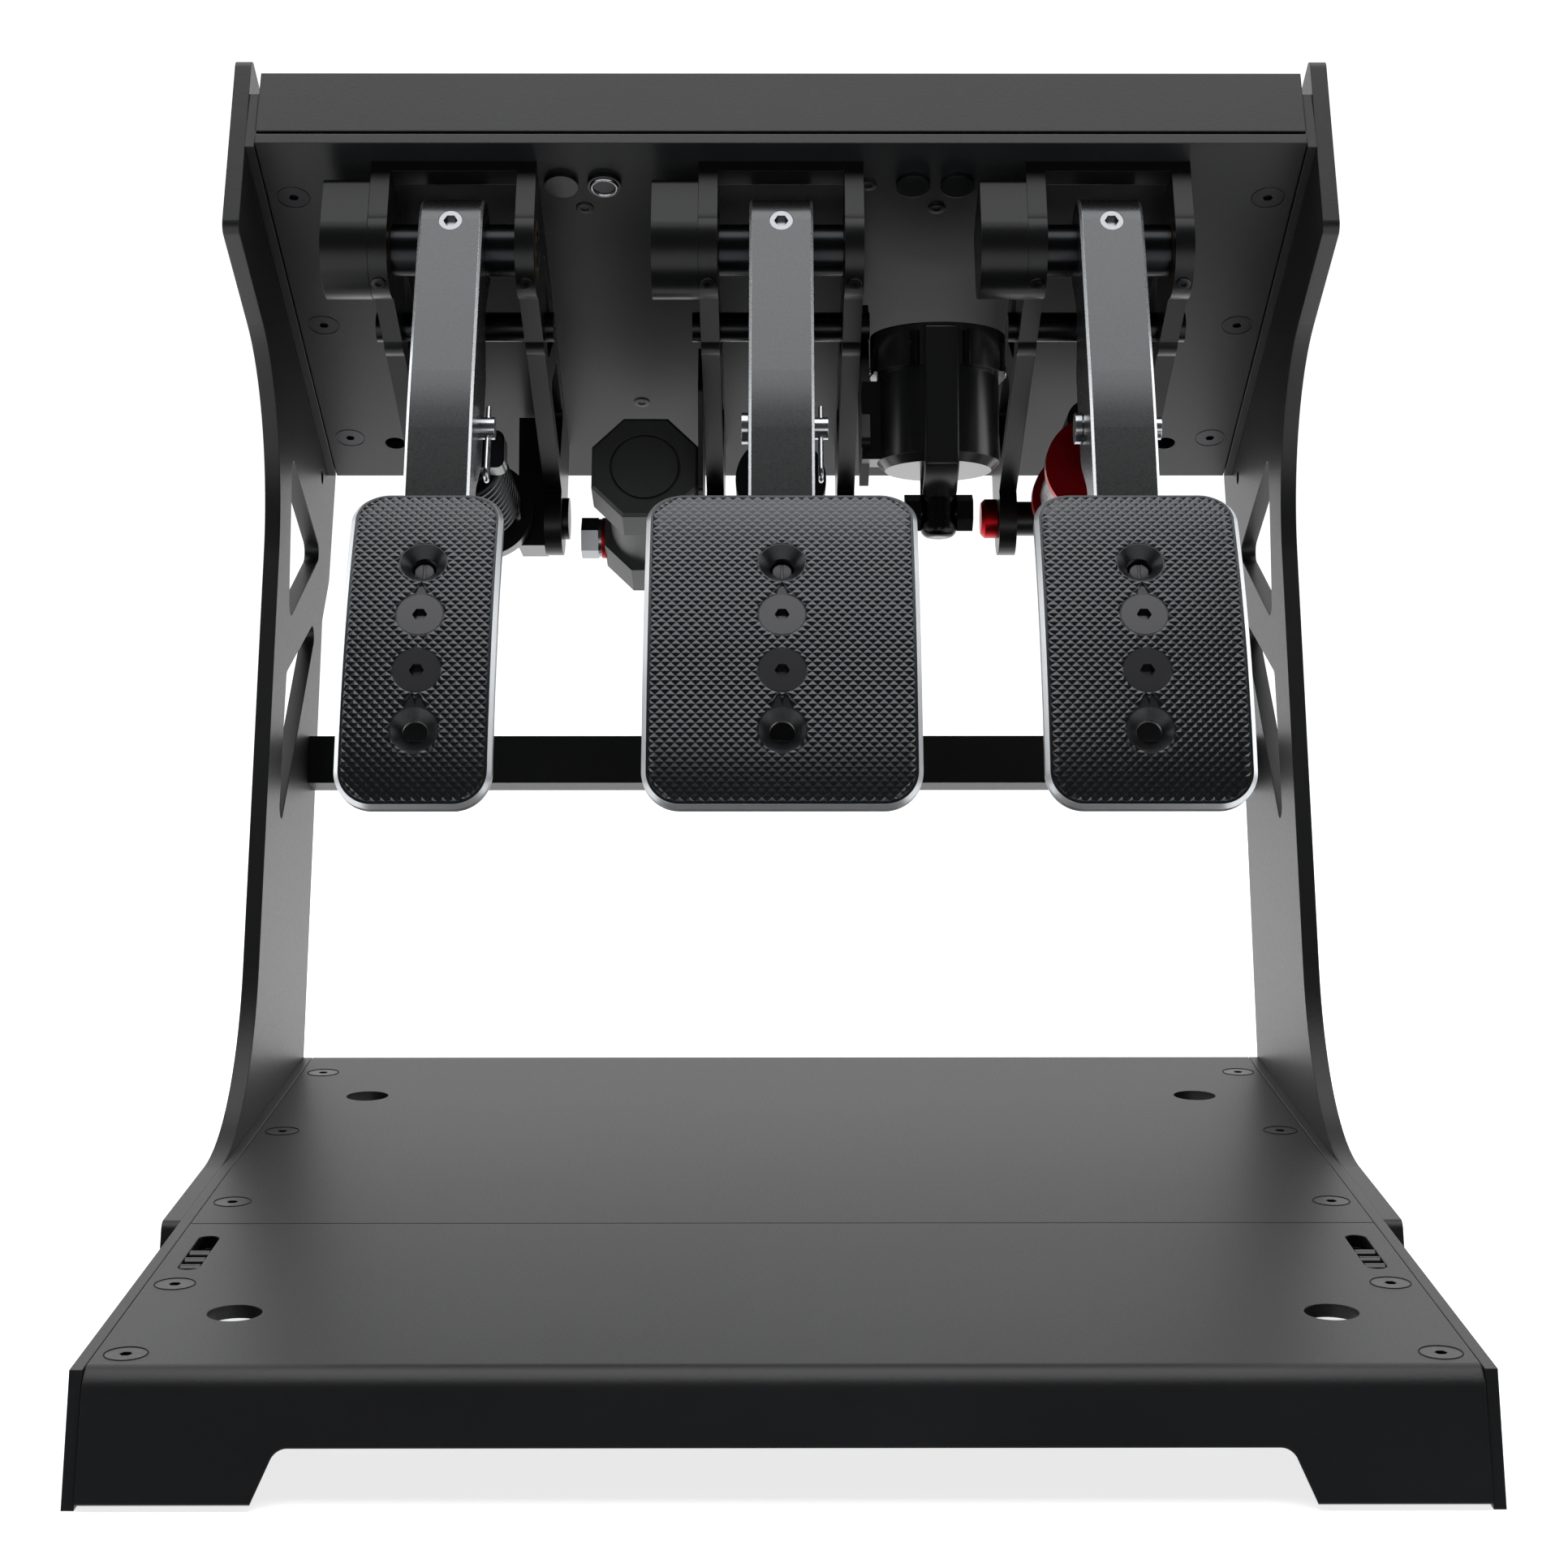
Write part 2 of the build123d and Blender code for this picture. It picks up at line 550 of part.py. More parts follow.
def drilled_floor(plate):
    """The rail screws' holes and the wide fixing holes of a floor plate."""
    for side in (-1, 1):
        for y in FLOOR_SCREW_YS:
            hole = flat_head(M6_HEAD_RADIUS, M6_RADIUS, M6_LENGTH, FIT_GAP)
            plate -= Pos(side * SCREW_LINE_X, y, FLOOR_HEIGHT) * hole
        for y in FIXING_HOLE_YS:
            plate -= Pos(side * FIXING_HOLE_X, y, 0) * rod(FIXING_HOLE_RADIUS, 0, FLOOR_HEIGHT + OVERRUN)
    return plate


def rear_floor_plate():
    half_width = INNER_HALF_WIDTH - RAIL_THICKNESS - CLEARANCE
    front = FLOOR_SEAM_Y + FLOOR_SEAM_GAP / 2
    bottom = FLOOR_HEIGHT - FLOOR_THICKNESS
    return drilled_floor(block(-half_width, half_width, front, FLOOR_BACK_Y, bottom, FLOOR_HEIGHT))


# Heel latches: a ridged slide in each slot, kept from below by a small housing
def latch_slide():
    rail_bottom = FLOOR_HEIGHT - FLOOR_THICKNESS - RAIL_THICKNESS
    width = LATCH_SLOT_WIDTH - CLEARANCE * 2
    top = FLOOR_HEIGHT - LATCH_RIDGE_RADIUS
    middle = LATCH_SLOT_FRONT_Y + CLEARANCE + LATCH_SLIDE_LENGTH / 2
    stem = extrude(SlotOverall(LATCH_SLIDE_LENGTH, width, rotation=90), top - rail_bottom + CLEARANCE)
    slide = Pos(LATCH_X, middle, rail_bottom - CLEARANCE) * stem
    foot_top = rail_bottom - CLEARANCE
    half_foot = LATCH_FOOT_WIDTH / 2
    slide += block(
        LATCH_X - half_foot,
        LATCH_X + half_foot,
        middle - LATCH_SLIDE_LENGTH / 2,
        middle + LATCH_SLIDE_LENGTH / 2,
        foot_top - LATCH_FOOT_THICKNESS,
        foot_top,
    )
    for count in range(LATCH_RIDGE_COUNT):
        y = middle + (count - (LATCH_RIDGE_COUNT - 1) / 2) * LATCH_RIDGE_PITCH
        slide += bar_x(LATCH_RIDGE_RADIUS, LATCH_X - width / 2, LATCH_X + width / 2, y, top)
    return slide


def latch_housing():
    top = FLOOR_HEIGHT - FLOOR_THICKNESS - RAIL_THICKNESS
    depth = LATCH_FOOT_THICKNESS + CLEARANCE * 2
    half_width = LATCH_FOOT_WIDTH / 2 + CLEARANCE
    front = LATCH_SLOT_FRONT_Y
    back = LATCH_SLOT_FRONT_Y + LATCH_SLOT_LENGTH
    wall = LATCH_HOUSING_WALL
    left, right = LATCH_X - half_width, LATCH_X + half_width
    body = block(left - wall, right + wall, front - wall, back + wall, top - depth - wall, top)
    return body - block(left, right, front, back, top - depth, top + OVERRUN)


# Uprights: cut plates whose head follows the tray and whose foot runs along the floor rail
def upright():
    head_top_front = on_tray(HEAD_FRONT_S, -HEAD_TOP_HEIGHT)
    head_low_front = on_tray(HEAD_FRONT_S + HEAD_FRONT_OFFSET, HEAD_LOW_DEPTH)
    head_top_back = on_tray(HEAD_BACK_S, -HEAD_TOP_HEIGHT)
    seat = on_set(SEAT_SHARE)
    foot_back = FLOOR_BACK_Y + HEEL_MARGIN
    points = [
        head_top_front,
        head_top_back,
        seat,
        on_set(HIP_SHARE),
        (foot_back, FLOOR_HEIGHT),
        (foot_back, 0),
        (FRONT_Y + TOE_FOOT_DEPTH_SHARE * SET_DEPTH, 0),
        (FRONT_Y + TOE_DEPTH_SHARE * SET_DEPTH, FLOOR_HEIGHT),
        (FRONT_Y + ANKLE_DEPTH_SHARE * SET_DEPTH, FLOOR_HEIGHT),
        on_set(KNEE_SHARE),
        head_low_front,
    ]
    corner = HEAD_ROUNDING
    radii = [corner] * 5 + [0, 0, corner, ANKLE_RADIUS, KNEE_RADIUS, corner]
    plate = across(outline(points, radii), SET_HALF_WIDTH - UPRIGHT_THICKNESS, SET_HALF_WIDTH)
    for shares in (UPPER_WINDOW_SHARES, LOWER_WINDOW_SHARES):
        window = outline([on_set(share) for share in shares], WINDOW_ROUNDING)
        plate -= across(window, 0, SET_HALF_WIDTH + OVERRUN)
    hole_y, hole_z = on_set(UPRIGHT_HOLE_SHARE)
    plate -= bar_x(UPRIGHT_HOLE_RADIUS, 0, SET_HALF_WIDTH + OVERRUN, hole_y, hole_z)
    return plate - upright_screws(FIT_GAP)


def crossbar():
    """A flat bar between the uprights, leaning with their legs."""
    y, z = on_set(CROSSBAR_SHARE)
    shape = Box(INNER_HALF_WIDTH * 2, CROSSBAR_DEPTH, CROSSBAR_HEIGHT)
    bar = Pos(0, y, z) * Rot(-CROSSBAR_LEAN, 0, 0) * shape
    for screws in mirrored(Compound(parts_of(upright_screws(FIT_GAP)))):
        bar -= screws
    return bar


# Tray: the plate that carries the modules, with its cover above
def jack_places():
    return [(share * MODULE_PITCH, JACK_S) for share in JACK_SHARES]


def mount_plate():
    plate = block(-TRAY_HALF_WIDTH, TRAY_HALF_WIDTH, 0, TRAY_LENGTH, 0, TRAY_THICKNESS)
    for side in (-1, 1):
        for share in TRAY_SCREW_SHARES:
            hole = Rot(180, 0, 0) * flat_head(M6_HEAD_RADIUS, M6_RADIUS, M6_LENGTH, FIT_GAP)
            plate -= Pos(side * TRAY_SCREW_X, share * TRAY_LENGTH, 0) * hole
        hole = rod(TRAY_HOLE_RADIUS, -OVERRUN, TRAY_THICKNESS + OVERRUN)
        plate -= Pos(side * TRAY_HOLE_X, TRAY_HOLE_SHARE * TRAY_LENGTH, 0) * hole
    for x, s in jack_places():
        plate -= Pos(x, s, 0) * rod(JACK_BODY_RADIUS + FIT_GAP, -OVERRUN, TRAY_THICKNESS + OVERRUN)
    for x, s in bracket_screw_places():
        plate -= Pos(x, s, 0) * rod(M5_RADIUS + FIT_GAP, -OVERRUN, TRAY_THICKNESS + OVERRUN)
    return TRAY.location * plate


def electronics_cover():
    """A folded sheet cover: its front wall is as wide as the tray, its sides stand on the rails."""
    low = TRAY_THICKNESS + RAIL_THICKNESS
    cover = block(-COVER_HALF_WIDTH, COVER_HALF_WIDTH, 0, TRAY_LENGTH, low, COVER_HEIGHT)
    cover -= block(
        COVER_SHEET - COVER_HALF_WIDTH,
        COVER_HALF_WIDTH - COVER_SHEET,
        COVER_SHEET,
        TRAY_LENGTH - COVER_SHEET,
        0,
        COVER_HEIGHT - COVER_SHEET,
    )
    wall_low = TRAY_THICKNESS + COVER_SLIT
    cover += block(-TRAY_HALF_WIDTH, TRAY_HALF_WIDTH, 0, COVER_SHEET, wall_low, COVER_HEIGHT)
    return TRAY.location * cover


# Control board on its pillars, and the sockets that the pedals plug into
def circuit_board():
    low = TRAY_THICKNESS + BOARD_GAP
    left, right = [share * MODULE_PITCH for share in BOARD_ACROSS_SHARES]
    front, back = [share * TRAY_LENGTH for share in BOARD_ALONG_SHARES]
    pieces = [block(left, right, front, back, low, low + BOARD_THICKNESS)]
    for across_share, along_share in STANDOFF_SHARES:
        place = Pos(across_share * MODULE_PITCH, along_share * TRAY_LENGTH, 0)
        pieces.append(place * rod(STANDOFF_RADIUS, TRAY_THICKNESS, low))
    return [TRAY.location * piece for piece in pieces]


def tray_jacks():
    """Round-headed sockets and plugs: a flange below the tray and a body through it."""
    pieces = []
    for x, s in jack_places():
        jack = rod(JACK_RADIUS, -JACK_FLANGE, 0) + rod(JACK_BODY_RADIUS, 0, JACK_BODY_LENGTH)
        pieces.append(TRAY.location * Pos(x, s, 0) * jack)
    return pieces


# Screws that hold each module up against the tray
def bracket_screw_places():
    places = []
    middle = (SIDE_PLATE_OUTER + SIDE_PLATE_INNER) / 2
    span = SIDE_PLATE_BACK_S - SIDE_PLATE_FRONT_S
    for module_x in MODULE_XS.values():
        for side in (-1, 1):
            for share in BRACKET_SCREW_SHARES:
                places.append((module_x + side * middle, SIDE_PLATE_FRONT_S + share * span))
    return places


def bracket_screws():
    screw = cap_head(M5_HEAD_RADIUS, M5_HEAD_HEIGHT, M5_RADIUS, M5_LENGTH)
    return [TRAY.location * Pos(x, s, TRAY_THICKNESS) * screw for x, s in bracket_screw_places()]


# Module side plates: hang from the tray, with lugs round the pivot and the anchor
def side_plate():
    """The right-hand side plate of a module, in tray places."""
    front = SIDE_PLATE_FRONT_S
    back = SIDE_PLATE_BACK_S
    depth = SIDE_PLATE_DEPTH
    corners = [(front, 0), (back, 0), (back, depth), (front, depth)]
    shape = tray_profile(corners, [0, SIDE_PLATE_ROUNDING, 0, PIVOT_LUG_RADIUS])
    shape += Pos(PIVOT_S, -PIVOT_N) * Circle(PIVOT_LUG_RADIUS)
    shape += Pos(ANCHOR_S, -ANCHOR_N) * Circle(ANCHOR_LUG_RADIUS)
    shape += Pos(SPACER_S, -SPACER_N) * Circle(SPACER_RADIUS * 2)
    length = back - front
    for shares in (FRONT_WINDOW_SHARES, BACK_WINDOW_SHARES):
        corners = [(front + a * length, b * depth) for a, b in shares]
        shape -= tray_profile(corners, SIDE_PLATE_ROUNDING)
    plate = across(shape, SIDE_PLATE_INNER, SIDE_PLATE_OUTER)
    low, high = SIDE_PLATE_INNER - OVERRUN, SIDE_PLATE_OUTER + OVERRUN
    plate -= bar_x(BEARING_RADIUS + FIT_GAP, low, high, PIVOT_S, -PIVOT_N)
    plate -= bar_x(PIVOT_RADIUS + FIT_GAP, low, high, ANCHOR_S, -ANCHOR_N)
    plate -= bar_x(SPACER_SCREW_RADIUS + FIT_GAP, low, high, SPACER_S, -SPACER_N)
    for share in BRACKET_SCREW_SHARES:
        hole = rod(M5_RADIUS + FIT_GAP, TRAY_THICKNESS - M5_LENGTH - OVERRUN, OVERRUN)
        plate -= Pos((low + high) / 2, front + share * length, 0) * hole
    return plate


def side_plates(name):
    return [at_module(name, plate) for plate in mirrored(side_plate())]


def front_web(name):
    """The short bridge that ties the two side plates together in front."""
    inner = SIDE_PLATE_INNER
    front = SIDE_PLATE_FRONT_S
    return at_module(name, block(-inner, inner, front, front + WEB_LENGTH, -WEB_THICKNESS, 0))


def anchor_block():
    """A block between the clutch's side plate and its strut's eye, round the anchor pin."""
    block_back = ANCHOR_BLOCK_T + ANCHOR_BLOCK_LENGTH
    shape = block(
        ANCHOR_EYE_WIDTH / 2 + CLEARANCE,
        SIDE_PLATE_INNER,
        -ANCHOR_BLOCK_TOP_HEIGHT,
        ANCHOR_BLOCK_LOW_DEPTH,
        ANCHOR_BLOCK_T,
        block_back,
    )
    return shape - bar_x(PIVOT_RADIUS + FIT_GAP, 0, SIDE_PLATE_OUTER, 0, STRUT_LENGTH)


def module_webs():
    """The bridges of all three modules and the clutch's two anchor blocks."""
    blocks = [on_strut("clutch", piece) for piece in mirrored(anchor_block())]
    return [front_web(name) for name in NAMES] + blocks


def spacer_bar(name):
    """A round spacer with a domed screw head outside each side plate."""
    bar = bar_x(SPACER_RADIUS, -SIDE_PLATE_INNER, SIDE_PLATE_INNER, SPACER_S, -SPACER_N)
    bar += bar_x(SPACER_SCREW_RADIUS, -SIDE_PLATE_OUTER, SIDE_PLATE_OUTER, SPACER_S, -SPACER_N)
    for x in (-SIDE_PLATE_OUTER - SPACER_HEAD_HEIGHT, SIDE_PLATE_OUTER):
        bar += bar_x(SPACER_HEAD_RADIUS, x, x + SPACER_HEAD_HEIGHT, SPACER_S, -SPACER_N)
    return at_module(name, bar)


def pivot_bearings(name):
    """Plain bushes pressed into the side plates."""
    bush = bar_x(BEARING_RADIUS, SIDE_PLATE_INNER, SIDE_PLATE_OUTER, PIVOT_S, -PIVOT_N)
    low, high = SIDE_PLATE_INNER - OVERRUN, SIDE_PLATE_OUTER + OVERRUN
    bush -= bar_x(PIVOT_RADIUS + RUNNING_GAP, low, high, PIVOT_S, -PIVOT_N)
    return [at_module(name, piece) for piece in mirrored(bush)]


def sensor_housing(name):
    """The angle sensor's case over the left end of the pivot shaft."""
    shape = Pos(PIVOT_S, -PIVOT_N) * Circle(SENSOR_RADIUS)
    left, right = PIVOT_S - SENSOR_RADIUS, PIVOT_S + SENSOR_RADIUS
    corners = [(left, PIVOT_N), (right, PIVOT_N), (right, SENSOR_TOP_N), (left, SENSOR_TOP_N)]
    shape += tray_profile(corners, [0, 0, SIDE_PLATE_ROUNDING, SIDE_PLATE_ROUNDING])
    outer = SIDE_PLATE_OUTER + SENSOR_LENGTH
    case = across(shape, -outer, -SIDE_PLATE_OUTER)
    bore_end = SIDE_PLATE_OUTER + SENSOR_SHAFT_LENGTH + CLEARANCE
    case -= bar_x(BEARING_RADIUS, -bore_end, -SIDE_PLATE_OUTER, PIVOT_S, -PIVOT_N)
    return at_module(name, case)


def anchor_pin(name):
    """The pin that the strut swings on; the throttle's carries the stud of a knob."""
    pin = bar_x(PIVOT_RADIUS, -SIDE_PLATE_OUTER, SIDE_PLATE_OUTER, ANCHOR_S, -ANCHOR_N)
    right = SIDE_PLATE_OUTER
    pin += bar_x(ANCHOR_HEAD_RADIUS, right, right + ANCHOR_HEAD_HEIGHT, ANCHOR_S, -ANCHOR_N)
    if name == "throttle":
        stud = SIDE_PLATE_OUTER + CLEARANCE + KNOB_LENGTH
        pin += bar_x(KNOB_STUD_RADIUS, -stud, -SIDE_PLATE_OUTER, ANCHOR_S, -ANCHOR_N)
    else:
        pin += bar_x(ANCHOR_HEAD_RADIUS, -right - ANCHOR_HEAD_HEIGHT, -right, ANCHOR_S, -ANCHOR_N)
    return at_module(name, pin)


# Pedal arm: a machined lever that turns with its shaft
def arm_front_s(n):
    """The arm's front line below its bend."""
    share = (n - ARM_BEND_N) / (ARM_FOOT_N - ARM_BEND_N)
    return ARM_FRONT_S + share * (ARM_FOOT_S - ARM_FRONT_S)


def arm(name):
    top = PIVOT_N - ARM_HEAD_RADIUS
    head_back = PIVOT_S + ARM_HEAD_RADIUS
    neck = ARM_FRONT_S + ARM_NECK_DEPTH
    shank = arm_front_s(ARM_SHANK_N) + ARM_SHANK_DEPTH
    lug_top = CLEVIS_N - ARM_BACK_S + CLEVIS_S
    lug_low = CLEVIS_N + ARM_BACK_S - CLEVIS_S
    points = [
        (ARM_FRONT_S, top),
        (head_back, top),
        (head_back, PIVOT_N),
        (neck, ARM_NECK_N),
        (ARM_BACK_S, lug_top - ARM_SLOT_TOP_LENGTH),
        (ARM_BACK_S, lug_low),
        (shank, lug_low + ARM_SLOT_LOW_LENGTH),
        (ARM_FOOT_S + ARM_FOOT_DEPTH, ARM_FOOT_N),
        (ARM_FOOT_S, ARM_FOOT_N),
        (ARM_FRONT_S, ARM_BEND_N),
    ]
    head = ARM_HEAD_RADIUS - CLEARANCE
    soft = ARM_HEAD_RADIUS / 2
    radii = [head, head, 0, soft, soft, soft, soft, soft / 2, soft / 2, ARM_FOOT_N]
    half = ARM_WIDTH / 2
    lever = across(tray_profile(points, radii), -half, half)
    edges = lever.edges().filter_by(lambda edge: abs(abs(edge.center().X) - half) < FIT_GAP)
    lever = chamfer(edges, ARM_CHAMFER)
    lever -= bar_x(PIVOT_RADIUS + FIT_GAP, -ARM_WIDTH, ARM_WIDTH, PIVOT_S, -PIVOT_N)
    lever -= bar_x(CLEVIS_RADIUS + FIT_GAP, -ARM_WIDTH, ARM_WIDTH, CLEVIS_S, -CLEVIS_N)
    slot_half = ARM_SLOT_WIDTH / 2
    lever -= block(
        -slot_half,
        slot_half,
        CLEVIS_S - ARM_SLOT_FRONT_DEPTH,
        ARM_BACK_S + ARM_HEAD_RADIUS,
        -CLEVIS_N - ARM_SLOT_LOW_LENGTH,
        -CLEVIS_N + ARM_SLOT_TOP_LENGTH,
    )
    lever -= clamp_screw(FIT_GAP)
    return at_module(name, lever)


def clamp_screw(grow=0):
    """The cap screw in the arm's front that clamps the shaft, or its counterbored hole."""
    sunk = CLAMP_HEAD_HEIGHT
    seat = Pos(0, ARM_FRONT_S + sunk, -PIVOT_N) * Rot(90, 0, 0)
    reach = PIVOT_S - PIVOT_RADIUS - ARM_FRONT_S - sunk - RUNNING_GAP
    if grow > 0:
        hole = rod(CLAMP_HEAD_RADIUS + grow, 0, sunk + OVERRUN)
        return seat * (hole + rod(CLAMP_RADIUS + grow, -reach - OVERRUN, 0))
    return seat * cap_head(CLAMP_HEAD_RADIUS, sunk - CLEARANCE, CLAMP_RADIUS, reach)


def pivot_shaft(name):
    """The shaft, which turns with the arm, and the two sleeves that centre the arm."""
    left = SIDE_PLATE_OUTER + SENSOR_SHAFT_LENGTH
    shaft = bar_x(PIVOT_RADIUS, -left, SIDE_PLATE_OUTER + CLEARANCE, PIVOT_S, -PIVOT_N)
    sleeve = bar_x(SLEEVE_RADIUS, ARM_WIDTH / 2, SIDE_PLATE_INNER - CLEARANCE, PIVOT_S, -PIVOT_N)
    sleeve -= bar_x(PIVOT_RADIUS + FIT_GAP, 0, SIDE_PLATE_OUTER, PIVOT_S, -PIVOT_N)
    return [at_module(name, piece) for piece in [shaft] + mirrored(sleeve)]


def clevis_pin(name):
    """A headed pin through the arm's lug and the strut's eye, with a hairpin clip."""
    half = ARM_WIDTH / 2
    seat = -half - CLEARANCE
    pin = bar_x(CLEVIS_RADIUS, seat, half + CLEVIS_TAIL_LENGTH, CLEVIS_S, -CLEVIS_N)
    pin += bar_x(CLEVIS_HEAD_RADIUS, seat - CLEVIS_HEAD_HEIGHT, seat, CLEVIS_S, -CLEVIS_N)
    low = -CLEVIS_N - CLIP_LOW_LENGTH
    points = [
        (CLEVIS_S, CLIP_TOP_LENGTH - CLEVIS_N),
        (CLEVIS_S, low),
        (CLEVIS_S + CLIP_WIDTH, low),
        (CLEVIS_S + CLIP_WIDTH, -CLEVIS_N),
        (CLEVIS_S + CLIP_WIDTH + CLIP_TAIL_LENGTH, CLIP_TAIL_LENGTH - CLEVIS_N),
    ]
    clip_x = half + CLEVIS_TAIL_LENGTH / 2
    path = Plane.YZ.offset(clip_x) * FilletPolyline(*points, radius=CLIP_BEND_RADIUS)
    section = Plane(origin=path @ 0, z_dir=path % 0) * Circle(CLIP_WIRE_RADIUS)
    return at_module(name, pin + sweep(section, path=path))


# Pad and bracket: a curved plate on a curved-faced bracket
def pad_axis():
    """The middle of the pad's curve, in s and n."""
    return (PAD_FRONT_S + PAD_RADIUS, PAD_N)


def pad_hole_locations():
    """Places on the pad's face at its four holes, each looking out along the pad's radius."""
    centre_s, centre_n = pad_axis()
    places = []
    for count in range(PAD_HOLE_COUNT):
        along = (count - (PAD_HOLE_COUNT - 1) / 2) * PAD_HOLE_PITCH + PAD_HOLE_OFFSET
        angle = along / PAD_RADIUS
        s = centre_s - PAD_RADIUS * cos(angle)
        n = centre_n + PAD_RADIUS * sin(angle)
        places.append(Pos(0, s, -n) * Rot(90 + degrees(angle), 0, 0))
    return places


def pad(name):
    centre_s, centre_n = pad_axis()
    half_width = PAD_WIDTHS[name] / 2
    half_turn = PAD_LENGTH / 2 / PAD_RADIUS
    band = Pos(centre_s, -centre_n) * (Circle(PAD_RADIUS) - Circle(PAD_RADIUS - PAD_THICKNESS))
    reach = PAD_RADIUS * 2
    wedge = [
        (centre_s, -centre_n),
        (centre_s - reach * cos(half_turn), reach * sin(half_turn) - centre_n),
        (centre_s - reach * cos(half_turn), -reach * sin(half_turn) - centre_n),
    ]
    plate = across(band & outline(wedge, 0), -half_width, half_width)
    corners = plate.edges().filter_by(
        lambda one: abs(abs(one.center().X) - half_width) < FIT_GAP and one.length < PAD_THICKNESS + FIT_GAP
    )
    plate = fillet(corners, PAD_CORNER)
    rim = plate.edges().filter_by(lambda one: abs(pad_distance(one @ (1 / 2)) - PAD_RADIUS) < FIT_GAP)
    plate = chamfer(rim, PAD_RIM)
    for place in pad_hole_locations():
        hole = rod(PAD_HOLE_RADIUS, -PAD_THICKNESS - OVERRUN, OVERRUN)
        hole += flat_head(PAD_HOLE_HEAD_RADIUS, PAD_HOLE_RADIUS, PAD_THICKNESS + OVERRUN, FIT_GAP)
        plate -= place * hole
    return at_module(name, plate)


def pad_distance(point):
    """How far a point of the pad lies from the axis of its curve."""
    centre_s, centre_n = pad_axis()
    return hypot(point.Y - centre_s, point.Z + centre_n)


def pad_bracket(name):
    """A plate on the arm's front with a boss that reaches the back of the pad."""
    centre_s, centre_n = pad_axis()
    thick = PAD_BRACKET_THICKNESS
    top, low = PAD_BRACKET_TOP_N, ARM_FOOT_N
    boss_top, boss_low = PAD_BOSS_TOP_N, PAD_BOSS_BOTTOM_N
    far = PAD_FRONT_S - PAD_THICKNESS
    points = [
        (arm_front_s(top), top),
        (arm_front_s(low), low),
        (arm_front_s(low) - thick, boss_low),
        (far, boss_low),
        (far, boss_top),
        (arm_front_s(boss_top) - thick, boss_top),
        (arm_front_s(top) - thick, top),
    ]
    inside = Pos(centre_s, -centre_n) * Circle(PAD_RADIUS - PAD_THICKNESS)
    shape = tray_profile(points, 0) & inside
    half = PAD_BRACKET_WIDTH / 2
    bracket = across(shape, -half, half)
    for place in pad_hole_locations()[1:-1]:
        bracket -= place * rod(PAD_SCREW_RADIUS + FIT_GAP, -PAD_SCREW_LENGTH - CLEARANCE, 0)
    return at_module(name, bracket)


def pedal_screws(name):
    """The two pad screws and the shaft's clamp screw."""
    screw = flat_head(PAD_HOLE_HEAD_RADIUS - RUNNING_GAP, PAD_SCREW_RADIUS, PAD_SCREW_LENGTH)
    pieces = [place * Pos(0, 0, -RUNNING_GAP) * screw for place in pad_hole_locations()[1:-1]]
    return [at_module(name, piece) for piece in pieces + [clamp_screw()]]


# Strut pieces: rods ride with the clevis pin, bodies swing on the anchor pin
def rod_eye():
    """The eye in the arm's slot; its bore is wider than the pin by the linkage's slack."""
    half = EYE_WIDTH / 2
    eye = bar_x(EYE_RADIUS, -half, half, 0, 0)
    return eye, bar_x(CLEVIS_RADIUS + CLEVIS_GAP, -EYE_WIDTH, EYE_WIDTH, 0, 0)


def anchor_eye(shape):
    """Join a strut's body to its eye and bore it for the anchor pin."""
    half = ANCHOR_EYE_WIDTH / 2
    body = shape + bar_x(ANCHOR_EYE_RADIUS, -half, half, 0, STRUT_LENGTH)
    return body - bar_x(PIVOT_RADIUS + RUNNING_GAP, -SET_HALF_WIDTH, SET_HALF_WIDTH, 0, STRUT_LENGTH)


def clutch_rod():
    eye, bore = rod_eye()
    piece = eye + rod(CLUTCH_ROD_RADIUS, 0, CLUTCH_ROD_END_T)
    width, height = CLUTCH_BLOCK_WIDTH, CLUTCH_BLOCK_HEIGHT
    seat = extrude(RectangleRounded(width, height, SIDE_PLATE_ROUNDING), CLUTCH_BLOCK_LENGTH)
    seat_back = CLUTCH_BLOCK_T + CLUTCH_BLOCK_LENGTH
    piece += rod(SPRING_RADIUS - SPRING_WIRE / 2 - CLEARANCE, seat_back, seat_back + CLUTCH_SPIGOT_LENGTH)
    return on_strut("clutch", piece + Pos(0, 0, CLUTCH_BLOCK_T) * seat - bore)


def clutch_strut():
    tube_inner = CLUTCH_TUBE_RADIUS - CLUTCH_TUBE_WALL
    cup_end = CLUTCH_CUP_T + CLUTCH_CUP_LENGTH
    tube = rod(CLUTCH_TUBE_RADIUS, CLUTCH_TUBE_FRONT_T, STRUT_LENGTH)
    body = tube + rod(CLUTCH_CUP_RADIUS, CLUTCH_CUP_T, cup_end)
    body -= rod(tube_inner, CLUTCH_TUBE_FRONT_T - OVERRUN, CLUTCH_CUP_T + OVERRUN)
    return on_strut("clutch", anchor_eye(body))


def brake_rod():
    eye, bore = rod_eye()
    piece = eye + rod(BRAKE_ROD_RADIUS, 0, BRAKE_ROD_END_T)
    piston = BRAKE_CYLINDER_T + BRAKE_GLAND_LENGTH + CLEARANCE
    piece += rod(BRAKE_BORE_RADIUS - RUNNING_GAP, piston, piston + PISTON_LENGTH)
    return on_strut("brake", piece - bore)


def cylinder(radius, bore, rod_radius, front, gland, cavity):
    """A closed cylinder with a gland in front for its rod and an eye behind."""
    body = rod(radius, front, CYLINDER_END_T) + rod(CYLINDER_NECK_RADIUS, front, STRUT_LENGTH)
    body -= rod(bore, front + gland, front + gland + cavity)
    body -= rod(rod_radius + RUNNING_GAP, front - OVERRUN, front + gland + OVERRUN)
    return anchor_eye(body)


